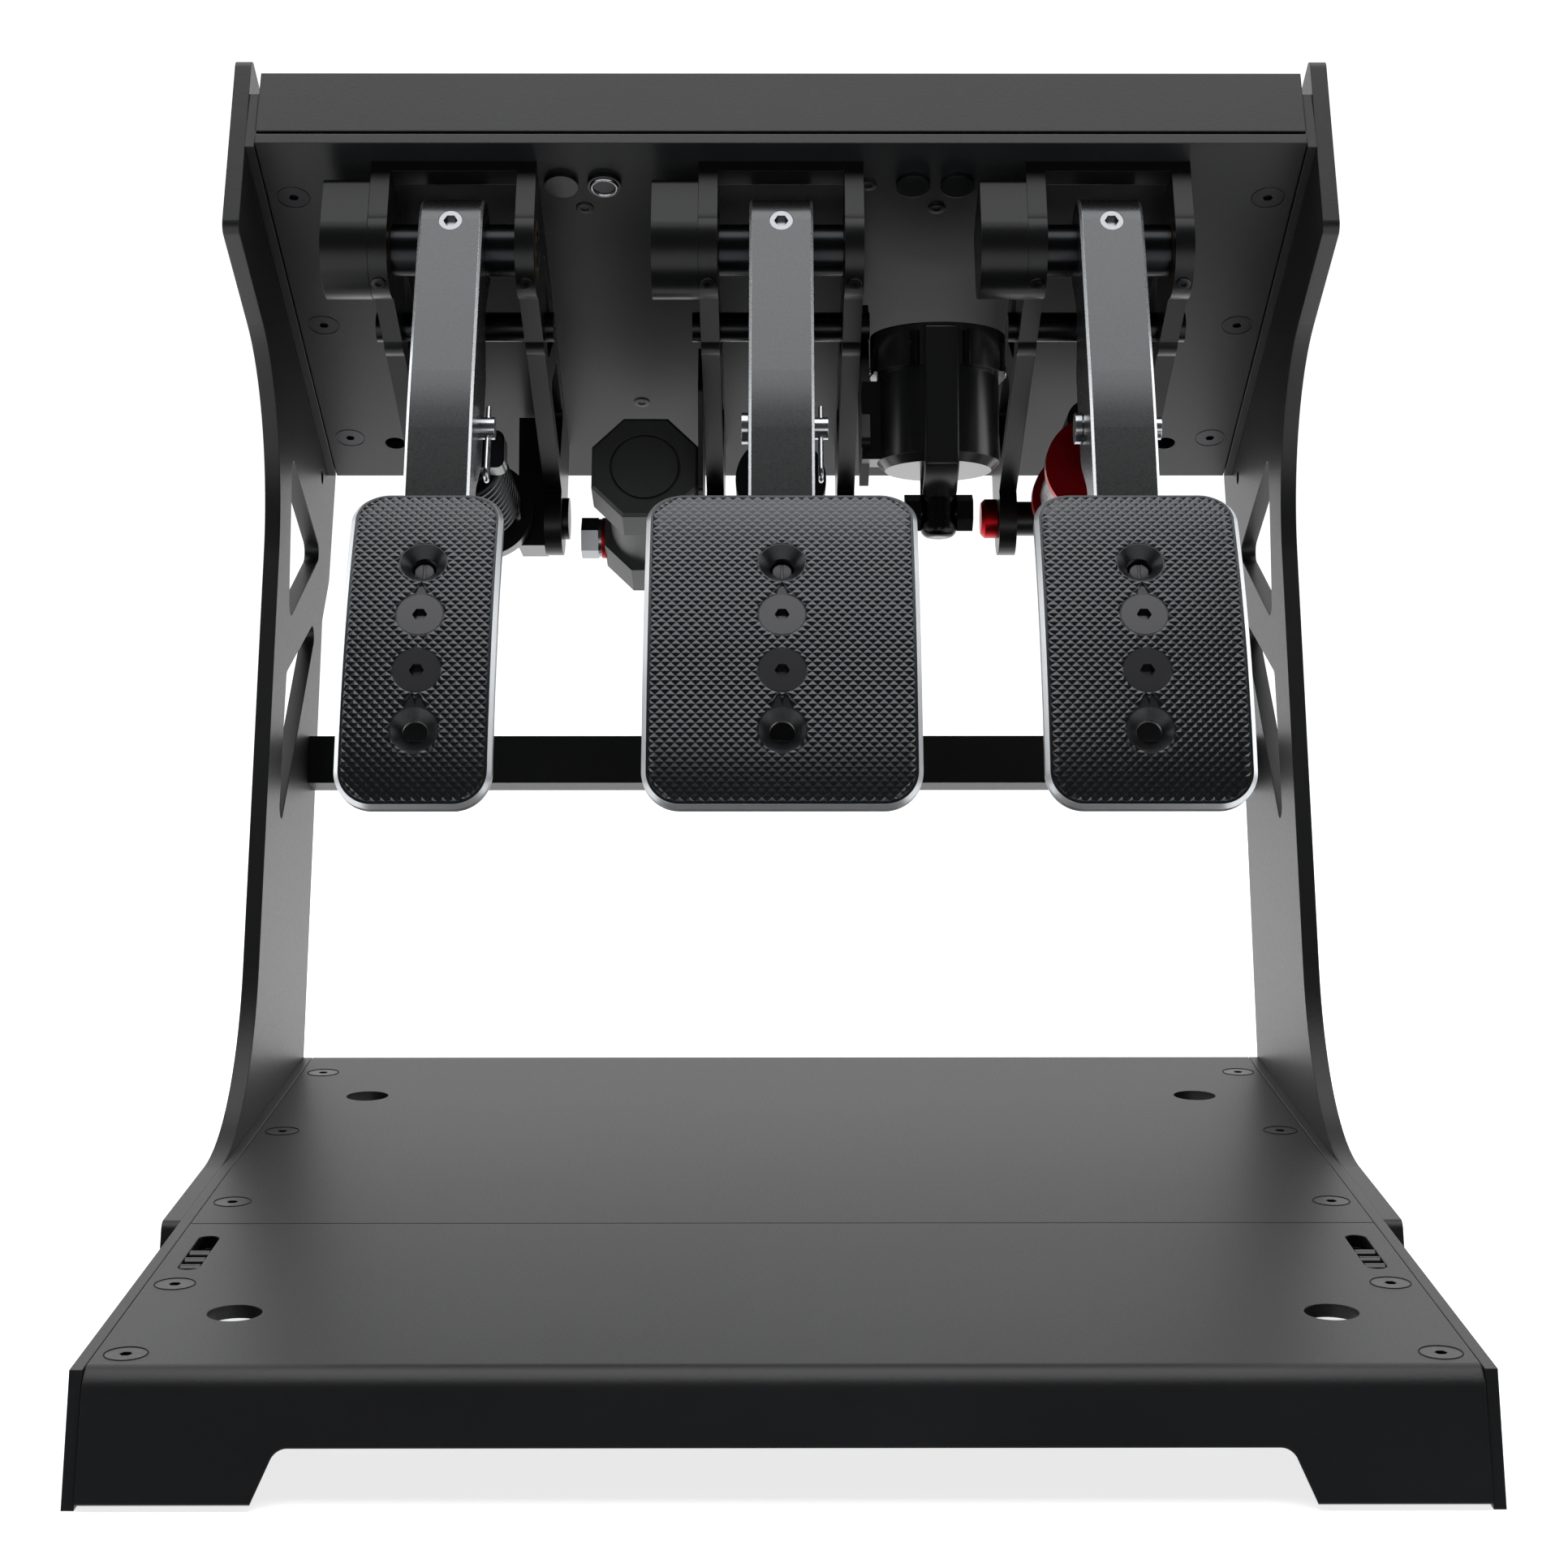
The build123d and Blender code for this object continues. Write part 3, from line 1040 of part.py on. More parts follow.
def brake_strut():
    radius, bore = BRAKE_CYLINDER_RADIUS, BRAKE_BORE_RADIUS
    front, gland, cavity = BRAKE_CYLINDER_T, BRAKE_GLAND_LENGTH, BRAKE_CAVITY_LENGTH
    return on_strut("brake", cylinder(radius, bore, BRAKE_ROD_RADIUS, front, gland, cavity))


def throttle_rod():
    eye, bore = rod_eye()
    piece = eye + rod(THROTTLE_ROD_RADIUS, 0, THROTTLE_ROD_END_T)
    piston = THROTTLE_CYLINDER_T + PISTON_LENGTH + CLEARANCE
    piece += rod(THROTTLE_BORE_RADIUS - RUNNING_GAP, piston, piston + PISTON_LENGTH)
    return on_strut("throttle", piece - bore)


def throttle_strut():
    radius, bore = THROTTLE_CYLINDER_RADIUS, THROTTLE_BORE_RADIUS
    front, gland, cavity = THROTTLE_CYLINDER_T, PISTON_LENGTH, THROTTLE_CAVITY_LENGTH
    return on_strut("throttle", cylinder(radius, bore, THROTTLE_ROD_RADIUS, front, gland, cavity))


def throttle_rings():
    """Two turned rings on the throttle's cylinder: the front cap and the spring collar."""
    cap_front = THROTTLE_CYLINDER_T - THROTTLE_CAP_LENGTH
    cap = rod(THROTTLE_RING_RADIUS, cap_front, THROTTLE_CYLINDER_T)
    cap -= rod(THROTTLE_ROD_RADIUS + RUNNING_GAP, 0, STRUT_LENGTH)
    collar_back = THROTTLE_RING_T + THROTTLE_RING_LENGTH
    collar = ring(THROTTLE_RING_RADIUS, THROTTLE_CYLINDER_RADIUS + FIT_GAP, THROTTLE_RING_T, collar_back)
    return [on_strut("throttle", piece) for piece in (cap, collar)]


def throttle_reservoir():
    """A small gas chamber that lies along the cylinder's upper left side."""
    reach = THROTTLE_CYLINDER_RADIUS + RESERVOIR_RADIUS
    chamber = rod(RESERVOIR_RADIUS, RESERVOIR_T, RESERVOIR_T + RESERVOIR_LENGTH)
    bridge = block(
        -RESERVOIR_RADIUS / 2,
        RESERVOIR_RADIUS / 2,
        -reach,
        0,
        RESERVOIR_T + RESERVOIR_RADIUS,
        RESERVOIR_T + RESERVOIR_LENGTH - RESERVOIR_RADIUS,
    )
    piece = Pos(0, -reach, 0) * chamber + bridge - rod(THROTTLE_CYLINDER_RADIUS + FIT_GAP, 0, STRUT_LENGTH)
    return on_strut("throttle", piece)


def throttle_knob():
    """A turned knob on the anchor pin's stud."""
    left = SIDE_PLATE_OUTER + CLEARANCE
    knob = bar_x(KNOB_RADIUS, -left - KNOB_LENGTH, -left, ANCHOR_S, -ANCHOR_N)
    outer = knob.edges().sort_by(Axis.X)[0]
    knob = chamfer(outer, KNOB_CHAMFER)
    knob -= bar_x(KNOB_STUD_RADIUS + RUNNING_GAP, -SET_HALF_WIDTH, 0, ANCHOR_S, -ANCHOR_N)
    return at_module("throttle", knob)


# Springs: each is one wire, with its ends turned square onto the seats
def arc_between(start, apex, stop):
    """The arc from start to stop whose end tangents meet at the apex."""
    middle = (start + stop) / 2
    half_chord = (stop - start).length / 2
    rise = apex - middle
    turn = atan2(rise.length, half_chord)
    return ThreePointArc(start, middle + rise.normalized() * (half_chord * tan(turn / 2)), stop)


def biarc(start, start_way, stop, stop_way):
    """Two arcs that leave start and reach stop along the two given directions."""
    chord = stop - start
    ways = start_way + stop_way
    scale = 2 * (1 - start_way.dot(stop_way))
    reach = (-chord.dot(ways) + sqrt(chord.dot(ways) ** 2 + scale * chord.dot(chord))) / scale
    first = start + start_way * reach
    second = stop - stop_way * reach
    joint = (first + second) / 2
    return [arc_between(start, first, joint), arc_between(joint, second, stop)]


def coil(label, wire, radius, turns, bend, low, high):
    """A compression spring of one wire between two flat seats."""
    slope = atan2((high - low - wire * 2 - bend * 2) / turns, 2 * pi * radius)
    for _ in range(SLOPE_PASSES):
        end_reach = wire + bend * tan((pi / 2 - slope) / 2) * (1 + sin(slope))
        climb = high - low - end_reach * 2
        slope = atan2(climb / turns, 2 * pi * radius)
    quarters = turns * 4
    places, ways = [], []
    for quarter in range(quarters + 1):
        angle = quarter * pi / 2
        height = low + end_reach + climb * quarter / quarters
        places.append(Vector(radius * cos(angle), radius * sin(angle), height))
        ways.append(Vector(-cos(slope) * sin(angle), cos(slope) * cos(angle), sin(slope)))
    up = Vector(0, 0, 1)
    reach = bend * tan((pi / 2 - slope) / 2)
    first_apex = places[0] - ways[0] * reach
    first_bend = first_apex - up * reach
    last_apex = places[-1] + ways[-1] * reach
    last_bend = last_apex + up * reach
    edges = [Line(first_bend - up * wire, first_bend), arc_between(first_bend, first_apex, places[0])]
    for quarter in range(quarters):
        edges += biarc(places[quarter], ways[quarter], places[quarter + 1], ways[quarter + 1])
    edges += [arc_between(places[-1], last_apex, last_bend), Line(last_bend, last_bend + up * wire)]
    path = Wire(edges)
    section = Plane(origin=path @ 0, z_dir=path % 0) * Circle(wire / 2)
    print(label, "least gap", least_gap(path, wire, turns))
    return sweep(section, path=path)


def least_gap(path, wire, turns):
    """The smallest clear distance between two points of the wire that are not neighbours."""
    count = turns * SAMPLES_PER_TURN
    points = [path @ (step / count) for step in range(count + 1)]
    apart = ceil(count / turns / 2)
    gaps = [
        (points[one] - points[other]).length
        for one in range(count + 1)
        for other in range(one + apart, count + 1)
    ]
    return round(min(gaps) - wire, 2)


def clutch_spring():
    low = CLUTCH_BLOCK_T + CLUTCH_BLOCK_LENGTH
    sizes = (SPRING_WIRE, SPRING_RADIUS, SPRING_TURNS, SPRING_BEND_RADIUS)
    return on_strut("clutch", coil("clutch spring", *sizes, low, CLUTCH_CUP_T))


def throttle_spring():
    low = THROTTLE_CYLINDER_T + PISTON_LENGTH * 2 + CLEARANCE
    high = THROTTLE_CYLINDER_T + PISTON_LENGTH + THROTTLE_CAVITY_LENGTH
    sizes = (RETURN_WIRE, RETURN_RADIUS, RETURN_TURNS, RETURN_BEND_RADIUS)
    return on_strut("throttle", coil("return spring", *sizes, low, high))


# Pressure chamber and its fitting, on a thin bracket against the brake's left plate
def eight_sided(width, low, high):
    radius = width / 2 / cos(pi / CHAMBER_SIDES)
    face = RegularPolygon(radius, CHAMBER_SIDES, rotation=180 / CHAMBER_SIDES)
    return Pos(0, 0, low) * extrude(face, high - low)


def chamber_place(piece):
    """Put a piece that is drawn along the chamber's axis into place."""
    y, z = on_tray(CHAMBER_S, CHAMBER_N)
    slope = radians(CHAMBER_SLOPE)
    frame = Plane(origin=(CHAMBER_X, y, z), x_dir=(1, 0, 0), z_dir=(0, cos(slope), -sin(slope)))
    return frame.location * piece


def pressure_chamber():
    neck_end = CHAMBER_LENGTH + CHAMBER_NECK_LENGTH
    body = eight_sided(CHAMBER_WIDTH, 0, CHAMBER_LENGTH)
    body = chamfer(body.faces().sort_by(Axis.Z)[0].edges(), CHAMBER_CHAMFER)
    body -= ring(CHAMBER_RING_RADIUS, CHAMBER_RING_RADIUS - CHAMBER_RING_WIDTH, -OVERRUN, CHAMBER_RING_DEPTH)
    body += rod(CHAMBER_NECK_RADIUS, CHAMBER_LENGTH, neck_end)
    body += eight_sided(CHAMBER_TAIL_WIDTH, neck_end, neck_end + CHAMBER_TAIL_LENGTH)
    return chamber_place(body)


def chamber_bracket():
    right = CHAMBER_X + CHAMBER_WIDTH / 2
    top = SIDE_PLATE_DEPTH / 2
    low = CHAMBER_N + CHAMBER_BRACKET_DROP
    end = CHAMBER_BRACKET_S + CHAMBER_BRACKET_LENGTH
    corners = [(CHAMBER_BRACKET_S, top), (end, top), (end, CHAMBER_N), (CHAMBER_S + CHAMBER_LENGTH, low)]
    corners += [(CHAMBER_S, low), (CHAMBER_BRACKET_S, SIDE_PLATE_DEPTH)]
    plate = across(tray_profile(corners, SIDE_PLATE_ROUNDING), right, -SIDE_PLATE_OUTER)
    return TRAY.location * plate


def hexagon(width, height):
    """A six-sided head or nut that stands on z = 0."""
    return extrude(RegularPolygon(width / 2 / cos(pi / HEX_SIDES), HEX_SIDES), height)


def banjo_fitting():
    """A round eye and hexagon bolt on the left flat of the chamber's rear block."""
    piece = rod(BANJO_RADIUS, 0, BANJO_LENGTH)
    piece += Pos(0, 0, BANJO_LENGTH) * hexagon(BANJO_HEX_WIDTH, BANJO_HEX_LENGTH)
    along = CHAMBER_LENGTH + CHAMBER_NECK_LENGTH + CHAMBER_TAIL_LENGTH / 2
    out = Plane(origin=(-CHAMBER_TAIL_WIDTH / 2, 0, along), x_dir=(0, 0, 1), z_dir=(-1, 0, 0))
    return chamber_place(out.location * piece)


# Canister: a capped pot on a stem, carried by a plate on the brake's right side
def canister_place(piece):
    y, z = on_tray(CANISTER_BOLT_S, CANISTER_BOLT_N)
    return Pos(CANISTER_X, y, z) * Rot(-CANISTER_LEAN, 0, 0) * piece


def canister_body():
    body = rod(CANISTER_RADIUS, CANISTER_LOW_HEIGHT, CANISTER_TOP_HEIGHT)
    rim = body.edges().sort_by(Axis.Z)[0]
    body = chamfer(rim, CANISTER_CHAMFER)
    inner = CANISTER_RADIUS - CANISTER_WALL
    body -= rod(inner, CANISTER_LOW_HEIGHT + CANISTER_WALL, CANISTER_TOP_HEIGHT + OVERRUN)
    return canister_place(body)


def canister_cap():
    cap = rod(CAP_RADIUS, CANISTER_TOP_HEIGHT, CANISTER_TOP_HEIGHT + CAP_LENGTH)
    inner = CANISTER_RADIUS - CANISTER_WALL
    cap -= rod(inner, CANISTER_TOP_HEIGHT - OVERRUN, CANISTER_TOP_HEIGHT + CAP_LENGTH - CANISTER_WALL)
    for hole in cap_screw_rods(CAP_SCREW_RADIUS + FIT_GAP):
        cap -= hole
    return canister_place(cap)


def cap_screw_rods(radius):
    """Rods round the cap's rim, open to its side, from its lower edge upwards."""
    rods = []
    for count in range(CAP_SCREW_COUNT):
        angle = (count + 1 / 2) * 360 / CAP_SCREW_COUNT
        centre = CAP_RADIUS - CAP_SCREW_RADIUS / 2
        place = Rot(0, 0, angle) * Pos(centre, 0, 0)
        rods.append(place * rod(radius, CANISTER_TOP_HEIGHT, CANISTER_TOP_HEIGHT + CAP_LENGTH - CANISTER_WALL))
    return rods


def canister_stem():
    """The outlet below the pot, bored for the cross bolt."""
    stem = rod(STEM_RADIUS, -STEM_LOW_LENGTH, CANISTER_LOW_HEIGHT)
    low_edge = stem.edges().sort_by(Axis.Z)[0]
    stem = fillet(low_edge, STEM_RADIUS / 2)
    stem -= bar_x(CROSS_BOLT_RADIUS + FIT_GAP, -CANISTER_RADIUS, CANISTER_RADIUS, 0, 0)
    return canister_place(stem)


def canister_fasteners():
    """The cross bolt with its nut, and the cap's screws."""
    head = hexagon(CROSS_HEX_WIDTH, CROSS_HEX_HEIGHT)
    bolt = bar_x(CROSS_BOLT_RADIUS, -CROSS_BOLT_HALF_LENGTH, STEM_RADIUS, 0, 0)
    bolt += Pos(STEM_RADIUS, 0, 0) * Rot(0, 90, 0) * head
    nut = Pos(-STEM_RADIUS - CROSS_HEX_HEIGHT, 0, 0) * Rot(0, 90, 0) * head
    nut -= bar_x(CROSS_BOLT_RADIUS + FIT_GAP, -CANISTER_RADIUS, CANISTER_RADIUS, 0, 0)
    screws = cap_screw_rods(CAP_SCREW_RADIUS)
    return [canister_place(piece) for piece in [bolt, nut] + screws]


def canister_bracket():
    left = SIDE_PLATE_OUTER
    right = left + CANISTER_PLATE_THICKNESS
    top, low = CANISTER_PLATE_TOP_N, CANISTER_PLATE_BOTTOM_N
    front = CANISTER_PLATE_S
    back = front + CANISTER_PLATE_LENGTH
    corners = [(front, top), (back, top), (back, low), (front, low)]
    plate = across(tray_profile(corners, SIDE_PLATE_ROUNDING), left, right)
    boss = canister_place(
        block(
            right - CANISTER_X - OVERRUN,
            0,
            -CANISTER_BOSS_WIDTH / 2,
            CANISTER_BOSS_WIDTH / 2,
            CANISTER_LOW_HEIGHT + CANISTER_CHAMFER,
            CANISTER_TOP_HEIGHT - CANISTER_CHAMFER,
        )
        - rod(CANISTER_RADIUS, -STEM_LOW_LENGTH, CANISTER_TOP_HEIGHT + CAP_LENGTH)
    )
    return TRAY.location * plate + boss


def frame_screws():
    """All the flat-headed screws: in the floor, under the tray and through the uprights."""
    screw = flat_head(M6_HEAD_RADIUS, M6_RADIUS, M6_LENGTH)
    pieces = []
    for side in (-1, 1):
        pieces += [Pos(side * SCREW_LINE_X, y, FLOOR_HEIGHT) * screw for y in FLOOR_SCREW_YS]
        for share in TRAY_SCREW_SHARES:
            place = Pos(side * TRAY_SCREW_X, share * TRAY_LENGTH, 0) * Rot(180, 0, 0)
            pieces.append(TRAY.location * place * screw)
    right = Compound(parts_of(upright_screws()))
    return pieces + mirrored(right)


save("side_rails", *mirrored(floor_rail()), *mirrored(tray_rail()))
save("front_floor_plate", front_floor_plate())
save("rear_floor_plate", rear_floor_plate())
save("frame_screws", *frame_screws())
save("latch_housings", *mirrored(latch_housing()))
save("right_heel_latch", latch_slide())
save("left_heel_latch", mirrored(latch_slide())[1])
save("right_upright", upright())
save("left_upright", mirrored(upright())[1])
save("crossbar", crossbar())
save("mount_plate", mount_plate())
save("electronics_cover", electronics_cover())
save("circuit_board", *circuit_board())
save("tray_jacks", *tray_jacks())
save("bracket_screws", *bracket_screws())
save("module_webs", *module_webs())
save("spacer_bars", *[spacer_bar(name) for name in NAMES])
save("pivot_bearings", *[bush for name in NAMES for bush in pivot_bearings(name)])
save("sensor_housings", *[sensor_housing(name) for name in NAMES])
save("anchor_pins", *[anchor_pin(name) for name in NAMES])
save("pressure_chamber", pressure_chamber())
save("chamber_bracket", chamber_bracket())
save("banjo_fitting", banjo_fitting())
save("canister_body", canister_body())
save("canister_cap", canister_cap())
save("canister_stem", canister_stem())
save("canister_fasteners", *canister_fasteners())
save("canister_bracket", canister_bracket())
for name in NAMES:
    save(name + "_side_plates", *side_plates(name))
    save(name + "_arm", arm(name))
    save(name + "_pivot_shaft", *pivot_shaft(name))
    save(name + "_clevis_pin", clevis_pin(name))
    save(name + "_pad", pad(name))
    save(name + "_pad_bracket", pad_bracket(name))
    save(name + "_pedal_screws", *pedal_screws(name))
save("clutch_rod", clutch_rod())
save("clutch_strut", clutch_strut())
save("clutch_spring", clutch_spring())
save("brake_rod", brake_rod())
save("brake_strut", brake_strut())
save("throttle_rod", throttle_rod())
save("throttle_strut", throttle_strut())
save("throttle_rings", *throttle_rings())
save("throttle_reservoir", throttle_reservoir())
save("throttle_spring", throttle_spring())
save("throttle_knob", throttle_knob())
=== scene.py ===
from math import cos, hypot, pi, radians, sin

import bmesh
import bpy
from mathutils import Matrix, Vector


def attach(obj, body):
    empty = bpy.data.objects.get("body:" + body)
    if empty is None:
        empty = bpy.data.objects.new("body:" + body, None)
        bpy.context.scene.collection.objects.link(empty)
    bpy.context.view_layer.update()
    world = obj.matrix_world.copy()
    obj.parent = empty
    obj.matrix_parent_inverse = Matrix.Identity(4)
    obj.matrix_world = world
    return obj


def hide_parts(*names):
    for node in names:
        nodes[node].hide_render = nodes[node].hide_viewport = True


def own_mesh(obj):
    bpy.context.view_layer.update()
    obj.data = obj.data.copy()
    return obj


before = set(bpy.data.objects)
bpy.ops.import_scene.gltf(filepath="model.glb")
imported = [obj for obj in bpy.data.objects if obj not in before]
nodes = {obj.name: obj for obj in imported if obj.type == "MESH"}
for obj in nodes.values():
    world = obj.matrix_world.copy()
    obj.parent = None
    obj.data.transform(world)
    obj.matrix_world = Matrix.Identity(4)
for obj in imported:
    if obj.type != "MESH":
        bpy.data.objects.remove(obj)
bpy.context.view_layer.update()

# Camera: stands in front of the pedals at the height of their pivots and looks a little down.
# Its lens is the one that the photograph's converging floor edges give.
PHOTO_WIDTH = 1932
FOCAL_PIXELS = 3650
SENSOR_WIDTH = 36.0
CAMERA_PLACE = (-0.0026, -1.0390, 0.2877)
CAMERA_DOWN = 6.81
CAMERA_RIGHT = 0.19
CAMERA_NEAR = 0.05

bpy.ops.object.camera_add(
    location=CAMERA_PLACE,
    rotation=(radians(90 - CAMERA_DOWN), 0, radians(-CAMERA_RIGHT)),
)
camera = bpy.context.object
camera.data.sensor_width = SENSOR_WIDTH
camera.data.lens = FOCAL_PIXELS / PHOTO_WIDTH * SENSOR_WIDTH
camera.data.clip_start = CAMERA_NEAR
bpy.context.scene.camera = camera


# Studio: one sheet of white paper runs along the floor and bends up far behind the set.
# The paper glows a little, so that it stays white to its edges, and the room in front of it is dark.
# A broad soft box hangs overhead and gives the sheens; one on either side gives the bright rims.
SHEET_HALF = 6.0
SHEET_BEND = 1.5
SHEET_BEND_STEPS = 24
PAPER_COLOUR = "#ececec"
PAPER_GLOW = 0.78
ROOM_COLOUR = "#f2f2f2"
ROOM_LIGHT = 0.07
LAMPS = (
    ("overhead", (0.0, 0.06, 1.65), 1.6, 23),
    ("left_side", (-1.9, 0.45, 0.95), 1.3, 13),
    ("right_side", (1.9, 0.45, 0.95), 1.3, 13),
)
LAMP_AIM = Vector((0, 0.05, 0.25))


def srgb(hex_value):
    """An sRGB hex colour as the linear values that shaders take."""
    channels = [int(hex_value[i : i + 2], 16) / 255 for i in (1, 3, 5)]
    return tuple([c / 12.92 if c <= 0.04045 else ((c + 0.055) / 1.055) ** 2.4 for c in channels] + [1.0])


def add_node(material, kind, settings=None, links=None):
    """Add a shader node: settings go to its inputs, its colour stops or itself, links to its inputs."""
    node = material.node_tree.nodes.new(kind)
    for key, value in (settings or {}).items():
        if isinstance(key, int) or key in node.inputs:
            node.inputs[key].default_value = value
        elif key == "stops":
            stops = node.color_ramp.elements
            while len(stops) < len(value):
                stops.new(value[len(stops)][0])
            for stop, (position, colour) in zip(stops, value):
                stop.position = position
                stop.color = srgb(colour)
        else:
            setattr(node, key, value)
    for key, source in (links or {}).items():
        material.node_tree.links.new(source, node.inputs[key])
    return node


def new_material(name, settings):
    """A material and its one principled shader, which takes the real values of its finish."""
    material = bpy.data.materials.new(name)
    material.use_nodes = True
    shader = material.node_tree.nodes["Principled BSDF"]
    for key, value in settings.items():
        shader.inputs[key].default_value = value
    return material, shader


def feed_shader(material, shader, links):
    """Join outputs of a material's nodes to inputs of its shader."""
    for key, source in links.items():
        material.node_tree.links.new(source, shader.inputs[key])


def deselect_all():
    """Leave edit mode and select nothing."""
    if bpy.context.object and bpy.context.object.mode == "EDIT":
        bpy.ops.object.mode_set(mode="OBJECT")
    bpy.ops.object.select_all(action="DESELECT")


# Studio paper is matt and uncoated, so it gives the eye an even white with no sheen.
paper = new_material(
    "white_studio_paper",
    {
        "Base Color": srgb(PAPER_COLOUR),
        "Roughness": 0.8,
        "Specular IOR Level": 0.2,
        "Emission Color": srgb("#ffffff"),
        "Emission Strength": PAPER_GLOW,
    },
)[0]
deselect_all()
bpy.ops.mesh.primitive_plane_add(size=SHEET_HALF * 2, location=(0, 0, 0))
studio = bpy.context.object
studio.name = "studio_sheet"
bpy.ops.object.mode_set(mode="EDIT")
bpy.ops.mesh.select_all(action="DESELECT")
sheet_mesh = bmesh.from_edit_mesh(studio.data)
for sheet_edge in sheet_mesh.edges:
    sheet_edge.select = all(vertex.co.y > SHEET_HALF / 2 for vertex in sheet_edge.verts)
bmesh.update_edit_mesh(studio.data)
bpy.ops.mesh.extrude_region_move(TRANSFORM_OT_translate={"value": (0, 0, SHEET_HALF)})
bpy.ops.object.mode_set(mode="OBJECT")
bend = studio.modifiers.new("bend", "BEVEL")
bend.width = SHEET_BEND
bend.segments = SHEET_BEND_STEPS
bpy.ops.object.modifier_apply(modifier="bend")
bpy.ops.object.shade_smooth()
studio.data.materials.append(paper)

world = bpy.data.worlds.new("studio_light")
bpy.context.scene.world = world
world.use_nodes = True
room = world.node_tree.nodes["Background"]
room.inputs["Color"].default_value = srgb(ROOM_COLOUR)
room.inputs["Strength"].default_value = ROOM_LIGHT
bpy.context.scene.view_settings.view_transform = "Standard"

for lamp_name, lamp_place, size, power in LAMPS:
    bpy.ops.object.light_add(type="AREA", location=lamp_place)
    lamp = bpy.context.object
    lamp.name = "lamp_" + lamp_name
    lamp.data.size = size
    lamp.data.energy = power
    lamp.rotation_euler = (LAMP_AIM - Vector(lamp_place)).to_track_quat("-Z", "Y").to_euler()


# Frame sheets: floor plates, rails, uprights, crossbar, tray and cover are cut and folded steel,
# powder coated in satin black. The coat melts into a fine orange peel of about 0.9 mm, clouds a
# little over some 7 cm, and runs thin and round over each edge, so edges show as soft light lines.
MM = 0.001
POWDER_BLACK = "#131416"
POWDER_LIGHT = "#191a1c"
PEEL_SCALE = 1100
PEEL_DEPTH = 0.2 * MM
CLOUD_SCALE = 14.0
EDGE_SOFTNESS = 0.6 * MM
EDGE_SAMPLES = 4

powder, powder_shader = new_material("satin_black_powder_coat", {"Specular IOR Level": 0.36})
spot = add_node(powder, "ShaderNodeTexCoord").outputs["Object"]
edge = add_node(powder, "ShaderNodeBevel", {"samples": EDGE_SAMPLES, "Radius": EDGE_SOFTNESS})
peel = add_node(powder, "ShaderNodeTexNoise", {"Scale": PEEL_SCALE, "Detail": 3.0}, {"Vector": spot})
cloud = add_node(powder, "ShaderNodeTexNoise", {"Scale": CLOUD_SCALE, "Detail": 4.0}, {"Vector": spot})
shade = add_node(
    powder,
    "ShaderNodeValToRGB",
    {"stops": ((0.35, POWDER_BLACK), (0.7, POWDER_LIGHT))},
    {"Fac": cloud.outputs["Fac"]},
)
gloss = add_node(
    powder, "ShaderNodeMapRange", {"To Min": 0.34, "To Max": 0.46}, {"Value": peel.outputs["Fac"]}
)
grain = add_node(
    powder,
    "ShaderNodeBump",
    {"Strength": 0.2, "Distance": PEEL_DEPTH},
    {"Height": peel.outputs["Fac"], "Normal": edge.outputs["Normal"]},
)
feed_shader(
    powder,
    powder_shader,
    {
        "Base Color": shade.outputs["Color"],
        "Roughness": gloss.outputs["Result"],
        "Normal": grain.outputs["Normal"],
    },
)


def dress(name, material):
    """Give a CAD node its finish."""
    node = nodes[name]
    node.data.materials.clear()
    node.data.materials.append(material)


for name in (
    "side_rails",
    "front_floor_plate",
    "rear_floor_plate",
    "latch_housings",
    "left_upright",
    "right_upright",
    "crossbar",
    "mount_plate",
    "electronics_cover",
):
    dress(name, powder)


# Machined parts: side plates, brackets, arms, sensor cases and strut bodies are milled aluminium.
# They are blasted and then anodised black, which leaves a fine even satin. The real blasting is
# finer than the render can show, so it is drawn as spots of about 0.7 mm.
PEDALS = ("clutch", "brake", "throttle")
ANODISED_BLACK = "#101113"
ANODISED_LIGHT = "#18191b"
BARE_EDGE = "#c6c9cc"
BLAST_SCALE = 1500.0
BLAST_DEPTH = 0.1 * MM
GLOSS_BELOW = 0.03
GLOSS_ABOVE = 0.05
CHAMFER_LEAN = (0.45, 0.93)


def bare_chamfers(material, colour, way, where=None):
    """A finish's colour, but bare metal where a face leans halfway from the way given."""
    normal = add_node(material, "ShaderNodeTexCoord").outputs["Normal"]
    lean = add_node(
        material, "ShaderNodeVectorMath", {"operation": "DOT_PRODUCT", 1: way}, {0: normal}
    )
    share = add_node(
        material, "ShaderNodeMath", {"operation": "ABSOLUTE"}, {0: lean.outputs["Value"]}
    )
    bare = add_node(
        material,
        "ShaderNodeValToRGB",
        {"stops": ((0.0, "#000000"), (CHAMFER_LEAN[0], "#ffffff"), (CHAMFER_LEAN[1], "#000000"))},
        {"Fac": share.outputs["Value"]},
    )
    bare.color_ramp.interpolation = "CONSTANT"
    amount = bare.outputs["Color"]
    if where:
        masked = add_node(
            material, "ShaderNodeMath", {"operation": "MULTIPLY"}, {0: amount, 1: where(material)}
        )
        amount = masked.outputs["Value"]
    mixed = add_node(
        material,
        "ShaderNodeMix",
        {"data_type": "RGBA", 7: srgb(BARE_EDGE)},
        {0: amount, 6: colour},
    )
    return mixed.outputs[2]


